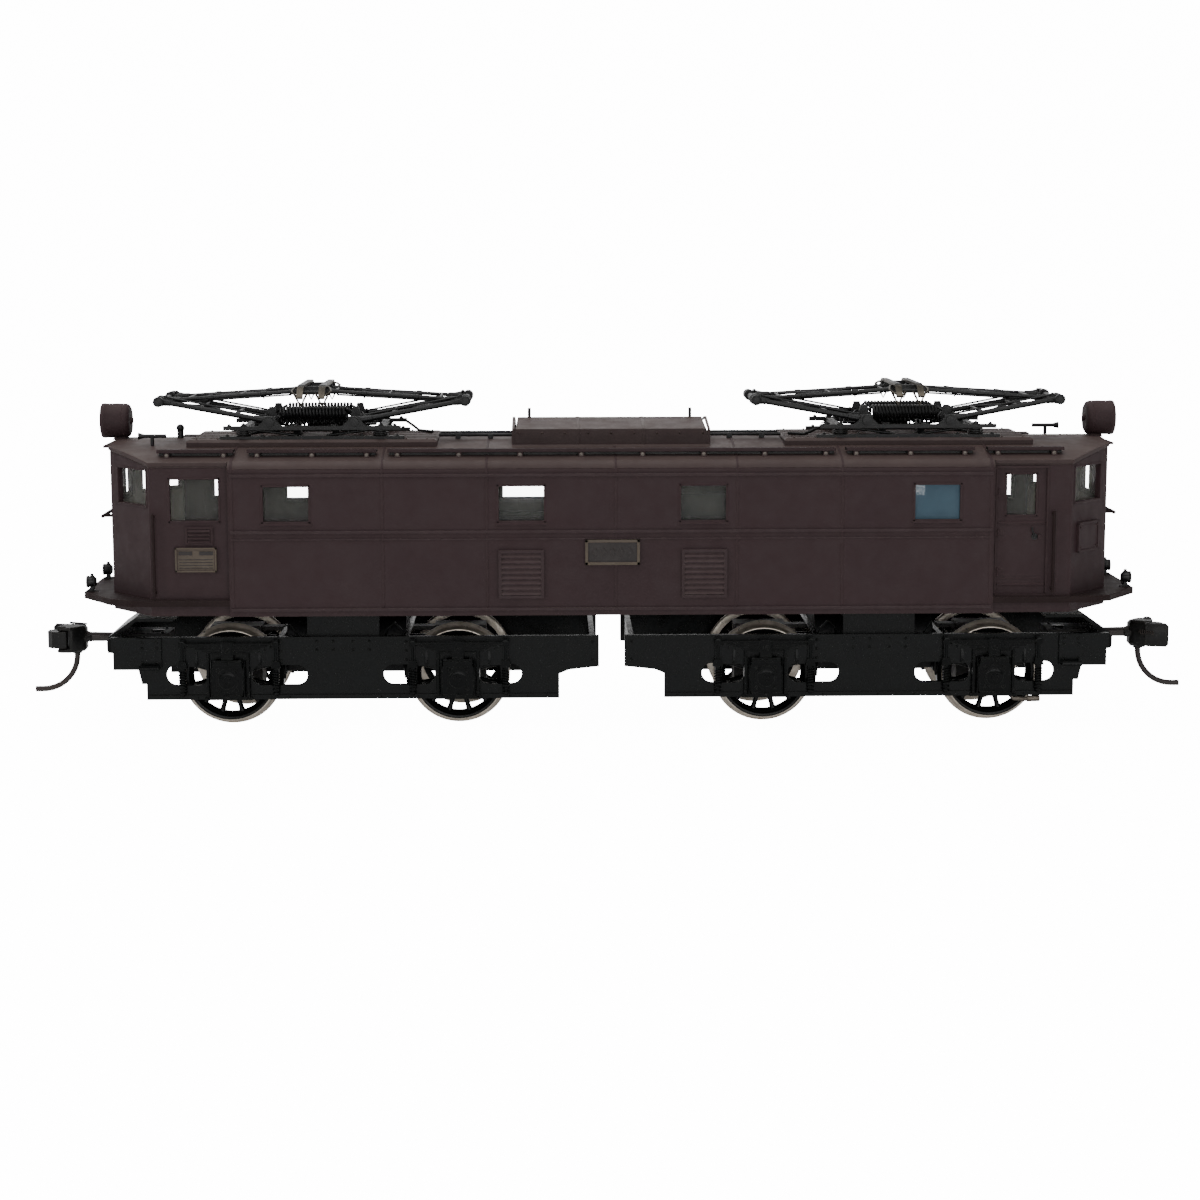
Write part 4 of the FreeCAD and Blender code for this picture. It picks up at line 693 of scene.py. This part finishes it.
# ---------------------------------------------------------------- bogie castings
PIPE = metal("dull_pipe", (0.16, 0.14, 0.12), (0.07, 0.058, 0.048), (0.3, 0.45))
OUT = -12.4                          # outer face of the near side frame
gear = Work()
for x in (23.5, 58.5):
    for i in range(5):                                           # spring leaves
        z, half = 13.42 - 0.36 * i, 7.2 - 1.1 * i
        gear.prism("y", even(x, [(half - 0.45, z - 0.3), (half - 0.1, z - 0.2), (half, z)]),
                   OUT - 1.3 + 0.04 * i, OUT)
    gear.prism("z", even(x, [(0.95, OUT), (0.95, OUT - 1.4), (0.7, OUT - 1.62)]), 11.2, 13.62)
    gear.bolt((x, OUT - 1.6, 12.4), OUTWARD, 0.36, 0.22)
    # axlebox: stepped body, oval cover, oil cap, side ribs
    gear.prism("y", even(x, [(2.0, 5.2), (2.35, 5.6), (2.35, 9.6), (1.7, 10.9)]), OUT - 1.75, OUT)
    octagon = [math.pi / 8 + math.pi / 4 * k for k in range(8)]
    gear.prism("y", [(x + 1.75 * math.cos(a), AXLE_Z + 1.95 * math.sin(a)) for a in octagon],
               OUT - 2.0, OUT - 1.7)
    gear.lathe((x, OUT - 1.95, AXLE_Z), OUTWARD,
               [(0, 1.35), (0.1, 1.32), (0.18, 1.1), (0.2, 0.55), (0.32, 0.5), (0.36, 0.2)], 24)
    for a in [math.radians(d) for d in (45, 135, 225, 315)]:
        gear.bolt((x + 1.95 * math.cos(a), OUT - 1.75, AXLE_Z + 2.2 * math.sin(a)), OUTWARD, 0.24, 0.2)
    gear.lathe((x, OUT - 1.0, 10.8), UP, [(0, 0.6), (0.15, 0.6), (0.2, 0.4), (0.5, 0.35)], 12)
    for s in (1, -1):                                            # cover straps and their nuts
        gear.prism("y", even(x, [(2.2, AXLE_Z + s * 2.35), (2.2, AXLE_Z + s * 2.75)]), OUT - 2.0, OUT - 1.6)
        gear.bolt((x, OUT - 2.0, AXLE_Z + s * 2.55), OUTWARD, 0.22, 0.2)
        gear.wire([(x + s * 2.5, OUT - 0.9, 5.2), (x + s * 2.45, OUT - 1.5, 6.4),
                   (x + s * 2.45, OUT - 1.5, 9.0), (x + s * 2.5, OUT - 0.9, 10.6)], 0.17)
        guide = x + s * 3.05
        gear.prism("z", even(guide, [(0.3, OUT), (0.2, OUT - 0.95)]), 4.9, 12.2)
        for z in (5.7, 8.3, 10.9):
            gear.bolt((guide, OUT - 0.95, z), OUTWARD, 0.19, 0.15)
        gear.prism("x", [(OUT, 9.7), (OUT - 0.9, 9.9), (OUT - 0.9, 10.2), (OUT - 0.3, 12.6), (OUT, 12.6)],
                   x + s * 4.6, x + s * 5.0)
    gear.prism("y", even(x, [(3.6, 4.62), (3.6, 4.95), (2.6, 5.15)]), OUT - 0.95, OUT)
    for c in (-7.3, 6.9):                                        # spring hangers
        gear.lathe((x + c, OUT - 1.4, 13.25), ACROSS, [(0, 0.35), (0.05, 0.55), (1.3, 0.55), (1.4, 0.4)], 16)
        gear.rod((x + c, OUT - 0.75, 5.1), (x + c, OUT - 0.75, 13.3), 0.24)
        gear.spring((x + c, OUT - 0.75, 6.3), (x + c, OUT - 0.75, 9.2), 0.52, 0.13, 6)
        for z in (5.5, 6.1, 9.2):
            gear.lathe((x + c, OUT - 0.75, z), UP, [(0, 0.5), (0.05, 0.56), (0.25, 0.56), (0.3, 0.5)], 6)
        gear.prism("y", even(x + c, [(0.75, 9.5), (0.55, 10.6)]), OUT - 1.15, OUT)
    # brake block and hanger, on the side towards the motor
    s = 1 if x < 41 else -1
    arc = [math.radians(-20 + 5 * k) for k in range(9)]
    shoe = [(x + s * 7.45 * math.cos(a), 7.6 + 7.45 * math.sin(a)) for a in arc]
    shoe += [(x + s * 8.15 * math.cos(a), 7.6 + 8.15 * math.sin(a)) for a in reversed(arc)]
    gear.prism("y", shoe, -9.7, -8.2)
    gear.wire([(x + s * 8.1, -9.0, 7.2), (x + s * 8.3, -9.0, 9.5), (x + s * 8.0, -9.0, 11.6)], 0.28)
for columns, rows in (((31.4, 50.6), (10.6, 12.0, 13.4)), ((37.0, 39.5, 42.5, 45.0), (12.2, 13.5)),
                      ((3.0,), (10.5, 13.2))):                   # frame rivets over the cross members
    for x in columns:
        for z in rows:
            gear.bolt((x, OUT, z), OUTWARD, 0.2, 0.14)
for k in range(22):
    gear.bolt((10.0 + 2.8 * k, OUT - 0.3, 4.95), OUTWARD, 0.13, 0.1)
for x in (69.3, 71.5):                                           # step hanger
    for z in (13.5, 12.6, 10.4):
        gear.bolt((x, OUT - 0.4, z), OUTWARD, 0.22, 0.16)
gear.prism("x", [(OUT - 0.35, 9.4), (OUT - 1.75, 9.35), (OUT - 1.75, 9.85), (OUT - 1.6, 10.1),
                 (OUT - 1.55, 9.8), (OUT - 0.35, 9.8)], 68.9, 71.9)
for k in range(6):
    gear.block((69.15 + 0.5 * k, 69.3 + 0.5 * k), (OUT - 1.55, OUT - 0.4), (9.78, 9.9))
gear.prism("y", [(76.25, 11.6), (77.0, 11.6), (77.15, 12.2), (77.15, 13.4), (76.7, 13.8), (76.25, 13.8)],
           -10.9, -9.7)
for x in (37.5, 44.5):                                           # bolster springs
    gear.lathe((x, -9.6, 14.0), UP, [(0, 1.2), (0.1, 1.3), (0.3, 1.3), (0.35, 1.0)], 20)
    gear.spring((x, -9.6, 14.2), (x, -9.6, 16.6), 0.85, 0.2, 4.5)
gear.wire([(34.6, -10.6, 14.0), (34.2, -10.9, 15.3), (33.2, -11.0, 16.2), (32.0, -10.8, 14.8),
           (31.6, -10.6, 13.9)], 0.14)
gear.wire([(48.0, -10.4, 14.0), (49.2, -10.6, 15.9), (50.8, -10.7, 15.2), (51.2, -10.5, 14.0)], 0.14)
gear.again(MIRROR_Y)
gear.finish = 1
gear.wire([(61.2, OUT + 0.4, 4.75), (61.8, OUT - 0.1, 4.15), (63.4, OUT - 0.2, 4.0), (65.2, OUT - 0.2, 4.1)],
          0.36)
gear.lathe((63.8, OUT - 0.2, 4.05), (1, 0, 0.04), [(0, 0.3), (0.05, 0.48), (1.9, 0.5), (2.0, 0.4),
                                                   (2.05, 0.1)], 16)
gear.finish = 0
gear.lathe((71.0, 0, 13.25), UP, [(0, 1.0), (0.12, 1.0), (0.2, 0.8), (0.2, 0.1)], 20)
for x, y in ((70.0, 2.2), (70.0, -2.2), (75.6, 2.6), (75.6, -2.6)):
    gear.bolt((x, y, 13.28), UP, 0.26, 0.18)
both_ends("bogie_{}_castings", gear, [CASTING_HIGHLIT, PIPE], "bogie_{}", "bogie_paint", bevel=0.035)

# ---------------------------------------------------------------- couplers
def cushion(work, points, low, high, nip):
    """A casting with this outline, its upper and lower rims drawn in by nip."""
    mid = sum((Vector(p) for p in points), Vector((0, 0))) / len(points)
    rings = []
    for z, pull in ((low, nip), (low + nip, 0.0), (high - nip, 0.0), (high, nip)):
        rings.append([(*(mid + (Vector(p) - mid) * (1 - pull / (Vector(p) - mid).length)), z)
                      for p in points])
    work.skin(rings)


draw = Work()
cushion(draw, [(82.2, -0.95), (82.8, -1.5), (83.6, -2.05), (84.5, -2.6), (84.5, 2.65), (84.1, 2.65),
               (83.3, 1.95), (82.7, 1.4), (82.2, 0.95)], 10.2, 14.2, 0.45)
cushion(draw, [(84.3, -2.5), (85.4, -2.95), (87.0, -3.2), (87.88, -3.25), (87.88, -2.4), (86.4, -1.35),
               (85.5, -0.5), (84.3, 0.4)], 10.35, 14.05, 0.4)
for low, high in ((10.2, 10.8), (13.68, 14.2)):                  # lips above and below the knuckle
    cushion(draw, [(84.2, -1.5), (85.6, -0.8), (86.45, 1.4), (86.45, 2.3), (85.9, 2.68), (84.2, 2.68)],
            low, high, 0.18)
draw.lathe((85.7, 2.0, 10.5), UP, [(0, 0.35), (3.7, 0.35), (3.7, 0.62), (3.82, 0.6), (3.9, 0.4),
                                   (3.92, 0.05)], 18)
draw.lathe((83.8, 0, 9.75), UP, [(0, 0.55), (0.1, 0.75), (0.5, 0.8)], 16)
draw.prism("z", [(82.3, -1.0), (83.5, -1.75), (85.3, -2.6), (85.3, -2.1), (83.6, -1.2), (82.4, -0.5)],
           14.15, 14.4)
draw.prism("x", even(0, [(0.9, 11.7), (1.15, 12.25), (0.9, 12.8)]), 81.4, 82.4)
draw.finish = 1
draw.prism("x", even(0, [(0.7, 11.75), (0.8, 11.85), (0.8, 12.65), (0.7, 12.75)]), 72.0, 81.6)
draw.lathe((71.0, 0, 11.75), UP, [(0.0, 0.72), (0.0, 1.15), (0.05, 1.2), (0.95, 1.2), (1.0, 1.15),
                                  (1.0, 0.72)], 28, closed=True)
draw.prism("y", [(76.8, 12.75), (82.3, 12.75), (82.6, 13.5), (81.6, 13.1), (76.8, 13.0)], -0.35, 0.35)
bend = [math.radians(180 + 7.5 * k) for k in range(13)]
trip_pin = [(89.3 + 5.5 * math.cos(a), 0, 9.6 + 5.5 * math.sin(a)) for a in bend]
draw.wire([(83.8, 0, 10.6), (83.8, 0, 10.0)] + trip_pin + [(90.5, 0, 4.1)], 0.45, 12)
draw.spring((83.4, -2.05, 12.6), (85.9, -2.95, 12.6), 0.3, 0.08, 7)
PIN = paint("trip_pin_brown", (0.012, 0.0075, 0.0065), (0.022, 0.013, 0.011), (0.06, 0.04, 0.032),
            (0.4, 0.55), 0.3)
both_ends("coupler_{}_casting", draw, [COUPLER, PIN], "coupler_{}", "black_plastic", bevel=0.05,
          replaces=["coupler_{}"])

# ---------------------------------------------------------------- pantographs
CX, FOOT, KNEE, CROWN = 45.5, 6.4, 23.3, 1.65
FZ, KZ, HZ = 46.6, 49.7, 51.1


def along(a, b, t):
    return Vector(a).lerp(Vector(b), t)


base = Work()
for y in (-2.3, 2.3):
    base.spring((CX - 8.6, y, 46.35), (CX + 8.6, y, 46.35), 0.55, 0.17, 22)
    base.spring((CX - 6.0, 1.9 * y, 47.75), (CX + 6.0, 1.9 * y, 47.75), 0.85, 0.24, 20)
    for x in (-8.9, 8.9):
        base.prism("y", even(CX + x, [(0.4, 45.8), (0.25, 46.75)]), y - 0.4, y + 0.4)
base.lathe((CX - 4.4, 0, 46.4), ALONG, [(0, 0.3), (0.05, 0.85), (0.15, 1.1), (0.55, 1.1), (0.6, 0.92),
                                        (5.0, 0.92), (5.05, 1.1), (5.45, 1.1), (5.55, 0.55), (6.3, 0.5),
                                        (6.35, 0.24), (8.2, 0.2)], 28)
for x in (-3.0, 3.0):                                            # cylinder cradles
    base.prism("x", even(0, [(1.6, 44.0), (1.3, 44.6), (0.9, 45.7)]), CX + x - 0.55, CX + x + 0.55)
for s in (1, -1):
    for t in (1, -1):
        for x, z, size, rise in ((12.6, 46.0, 0.28, 0.25), (10.4, 46.0, 0.4, 0.35), (3.0, 46.0, 0.25, 0.2),
                                 (12.9, 44.5, 0.26, 0.2), (7.6, 44.5, 0.26, 0.2), (2.4, 44.5, 0.26, 0.2)):
            base.bolt((CX + s * x, t * 8.0, z), UP, size, rise)
        base.prism("y", even(CX + s * FOOT, [(1.9, 45.95), (0.9, 46.9)]), t * 7.6, t * 8.35)
        base.wire([(CX + s * 3.0, t * 7.6, 45.7), (CX + s * 6.8, t * 3.0, 45.65),
                   (CX + s * 10.4, t * 7.6, 45.7)], 0.18)
        base.rod((CX + s * 2.6, t * 7.7, 44.6), (CX + s * 9.4, t * 7.9, 45.5), 0.2)
for t in (1, -1):
    base.rod((CX - 9.6, t * -5.4, 46.1), (CX + 9.6, t * 5.2, 44.7), 0.2)
base.wire([(CX - 13.3, -7.6, 45.7), (CX - 14.6, -6.6, 44.9), (CX - 15.6, -5.0, 44.3),
           (CX - 17.8, -2.6, 44.25)], 0.24)
both_ends("panto_{}_base_fittings", base, [BLACK], SHELL, "black_paint", bevel=0.03)

posts = Work()
for s in (1, -1):
    for t in (1, -1):
        posts.lathe((CX + s * 10.4, t * 8.0, 44.5), UP, [(0, 1.1), (0.1, 1.12), (0.14, 0.7), (0.2, 0.68),
                                                         (0.24, 1.22), (0.34, 1.2), (0.38, 0.7), (0.48, 0.7),
                                                         (0.52, 1.2), (0.62, 1.18), (0.66, 0.7), (0.74, 0.72),
                                                         (0.78, 0.95), (0.9, 0.95)], 28)
posts.again(HALF_TURN)
piece("panto_insulator_sheds", posts, [BLACK], SHELL, "insulator", replaces=["panto_insulators"])

for side, s in (("outer", 1), ("inner", -1)):
    fx, kx, hx = CX + s * FOOT, CX + s * KNEE, CX + s * CROWN
    low = Work()
    for t in (1, -1):
        a, b = (fx, t * 6.4, FZ), (kx, t * 6.0, KZ)
        low.rod(a, along(a, b, 0.16), 0.66, 0.5)
        low.rod(along(a, b, 0.9), b, 0.5, 0.62)
        low.lathe((kx, t * 5.62, KZ), (0, t, 0), [(0, 0.5), (0.05, 0.8), (0.7, 0.82), (0.75, 0.55),
                                                  (1.6, 0.55), (1.65, 0.78), (2.4, 0.8), (2.5, 0.66),
                                                  (2.6, 0.3)], 18)
        low.prism("y", [(kx - s * 2.6, KZ - 0.75), (kx - s * 2.4, KZ - 0.05), (kx - s * 0.2, KZ + 0.75),
                        (kx + s * 0.5, KZ + 0.45), (kx + s * 0.5, KZ - 0.4), (kx - s * 0.4, KZ - 0.7)],
                  t * 5.45, t * 6.35)
        low.lathe((fx, t * 8.42, FZ), (0, t, 0), [(0, 0.5), (0.03, 0.7), (0.28, 0.68), (0.32, 0.2)], 14)
        link = (fx + s * 0.9, t * 5.7, FZ + 0.8), (kx - s * 0.8, t * 5.66, KZ + 0.62)
        low.rod(*link, 0.15)
        low.ball(link[0], 0.34)
        low.ball(link[1], 0.32)
        low.prism("y", [(fx - 0.45, FZ + 0.3), (fx + 0.45, FZ + 0.3), (fx + s * 0.9 + 0.25, FZ + 0.95),
                        (fx + s * 0.9 - 0.25, FZ + 0.95)], t * 5.5, t * 5.9)
        for y, rise in ((2.3, 0.9), (4.37, 2.1)):                    # spring levers
            low.prism("y", even(fx, [(0.75, FZ - 0.4), (0.95, FZ + 0.3), (0.45, FZ + rise)]),
                      t * (y - 0.35), t * (y + 0.35))
    low.rod((fx + s * 5.6, 6.25, FZ + 1.03), (fx + s * 14.6, -6.05, FZ + 2.68), 0.2)
    low.rod((fx + s * 11.0, -6.2, FZ + 2.02), (fx + s * 11.0, 6.2, FZ + 2.02), 0.2)
    both_ends(f"panto_{{}}_lower_{side}_fittings", low, [BLACK], f"panto_{{}}_lower_{side}", "black_paint")
    high = Work()
    for t in (1, -1):
        a, b = (kx, t * 4.9, KZ), (hx, t * 4.1, HZ)
        high.rod(along(a, b, 0.045), along(a, b, 0.14), 0.5, 0.4)
        high.rod(along(a, b, 0.9), along(a, b, 0.965), 0.36, 0.45)
        high.rod((kx - s * 1.4, t * 4.2, KZ - 0.32), (hx + s * 1.8, t * 3.5, HZ - 0.62), 0.14)
        high.prism("y", even(kx - s, [(0.3, KZ - 0.45), (0.3, KZ + 0.3)]), t * 4.0, t * 4.9)
        for u in (0.35, 0.72):
            p = along(a, b, u)
            high.rod(along(a, b, u - 0.02), along(a, b, u + 0.02), 0.4)
            high.rod(p, (p.x, t * 3.9, p.z - 0.75), 0.13)
    high.rod((kx - s * 4.0, 4.75, KZ + 0.26), (kx - s * 17.6, -4.25, KZ + 1.14), 0.17)
    for u in (0.55, 0.93):
        p = along((kx, 4.9, KZ), (hx, 4.1, HZ), u)
        high.rod((p.x, -p.y, p.z), p, 0.19)
    both_ends(f"panto_{{}}_upper_{side}_fittings", high, [BLACK], f"panto_{{}}_upper_{side}", "black_paint")

head = Work()
for s in (1, -1):
    x = CX + s * CROWN
    half = [(9.93, 50.28), (9.8, 50.5), (9.2, 51.0), (8.5, 51.52), (8.0, 51.8), (7.4, 51.95), (6.6, 51.98)]
    head.finish = 0
    head.ribbon(half + [(y, 51.98) for y in (3, 0, -3)] + [(-y, z) for y, z in reversed(half)],
                (x - 0.49, x + 0.49), 0.42)
    for t in (1, -1):
        head.wire([(x - 1.15, t * 8.35, 51.25), (x - 0.6, t * 8.4, 50.2), (x, t * 8.4, 49.0),
                   (x + 0.6, t * 8.4, 50.2), (x + 1.15, t * 8.35, 51.25)], 0.17)
        head.wire([(x + s * 0.45, t * 9.5, 50.7), (x + s * 1.1, t * 9.0, 51.0), (x + s * 1.3, t * 8.2, 51.3),
                   (x + s * 1.0, t * 6.4, 51.7), (x + s * 0.4, t * 5.6, 51.8)], 0.17)
        head.finish = 1
        head.spring((x, t * 5.45, 50.8), (x, t * 5.45, 51.8), 0.3, 0.09, 4)
        head.bolt((x, t * 5.7, 51.1), (0, t, 0), 0.42, 0.25)
        head.finish = 0
head.finish = 1
for t in (1, -1):
    head.prism("y", even(CX, [(2.3, 50.6), (2.6, 51.25), (2.3, 51.85), (1.0, 51.5)]), t * 5.15, t * 5.75)
    head.rod((CX - CROWN, t * 8.4, 51.2), (CX + CROWN, t * 8.4, 51.2), 0.18)
both_ends("panto_{}_head_fittings", head, [SHOE, BLACK], "panto_{}_head", "shoe_metal")

# ---------------------------------------------------------------- studio, in metres
REACH, COVE_Y, COVE_R, BACK_TOP = 9.0, 0.5, 0.4, 2.2             # the floor and its curve into the backdrop
SEEN_GLOW, CAST_GLOW = 14.0, 0.25                                # its glow towards the camera and elsewhere


def stage_plane():
    """A pale floor that curves up into a backdrop; it shows evenly white behind the model."""
    rows = [(-REACH, 0.0), (COVE_Y, 0.0)]
    rows += [(COVE_Y + COVE_R * math.sin(a), COVE_R - COVE_R * math.cos(a))
             for a in [math.pi / 2 * i / 12 for i in range(1, 13)]]
    rows += [(COVE_Y + COVE_R, BACK_TOP)]
    verts = [(x, y, z) for y, z in rows for x in (-REACH, REACH)]
    faces = [(2 * i, 2 * i + 1, 2 * i + 3, 2 * i + 2) for i in range(len(rows) - 1)]
    mesh = bpy.data.meshes.new("floor")
    mesh.from_pydata(verts, [], faces)
    mesh.shade_smooth()
    floor = bpy.data.objects.new("studio_floor", mesh)
    bpy.context.scene.collection.objects.link(floor)
    material, tree, shader = shade("pale_floor")
    tree.links.new(patches(tree, 3, 3, (0.3, (0.8,)), (0.7, (0.84,))), shader.inputs["Base Color"])
    shader.inputs["Roughness"].default_value = 0.9
    ray = tree.nodes.new("ShaderNodeLightPath").outputs["Is Camera Ray"]
    glow = calc(tree, "Math", "MULTIPLY_ADD", ray, SEEN_GLOW, CAST_GLOW)[0]
    tree.links.new(glow, shader.inputs["Emission Strength"])
    shader.inputs["Emission Color"].default_value = (1, 1, 1, 1)
    mesh.materials.append(material)


def area_light(name, place, aim_z, size, power):
    """A soft rectangular light aimed at the model's middle, aim_z above the floor."""
    data = bpy.data.lights.new(name, "AREA")
    data.shape, data.size, data.size_y = "RECTANGLE", size[0], size[1]
    data.energy = power
    lamp = bpy.data.objects.new(name, data)
    lamp.location = place
    lamp.rotation_euler = (Vector((0, 0, aim_z)) - Vector(place)).to_track_quat("-Z", "Y").to_euler()
    bpy.context.scene.collection.objects.link(lamp)


stage_plane()
area_light("overhead", (-0.1, -0.15, 0.85), 0.02, (1.1, 0.7), 6.2)
area_light("front_fill", (0.25, -1.1, 0.45), 0.02, (0.9, 0.5), 2.6)
area_light("low_strip", (0.05, -0.9, 0.17), 0.015, (1.1, 0.1), 1.5)
area_light("left_strip", (-0.8, -0.5, 0.4), 0.03, (0.15, 0.5), 1.6)
area_light("back_fill", (-0.15, 0.42, 0.3), 0.02, (0.6, 0.3), 0.45)
world = bpy.data.worlds.new("studio")
world.use_nodes = True
sky = world.node_tree.nodes["Background"].inputs
sky["Color"].default_value, sky["Strength"].default_value = (1, 1, 1, 1), 0.2
bpy.context.scene.world = world

# ---------------------------------------------------------------- camera, at the photograph's angle
STAND, LENS_MM, SENSOR_MM = (-0.00927, -0.37841, 0.07451), 72.86, 36.0
YAW, PITCH, LEAN = math.radians(1.17), math.radians(8.52), math.radians(-0.10)
forward = Vector((math.sin(YAW) * math.cos(PITCH), math.cos(YAW) * math.cos(PITCH), -math.sin(PITCH)))
right = Vector((math.cos(YAW), -math.sin(YAW), 0.0))
up = right.cross(forward)
level_right = right * math.cos(LEAN) + up * math.sin(LEAN)
level_up = -right * math.sin(LEAN) + up * math.cos(LEAN)
camera_data = bpy.data.cameras.new("camera")
camera_data.lens, camera_data.sensor_width = LENS_MM, SENSOR_MM
camera = bpy.data.objects.new("camera", camera_data)
axes = Matrix((level_right, level_up, -forward)).transposed().to_4x4()
camera.matrix_world = Matrix.Translation(STAND) @ axes
bpy.context.scene.collection.objects.link(camera)
bpy.context.scene.camera = camera
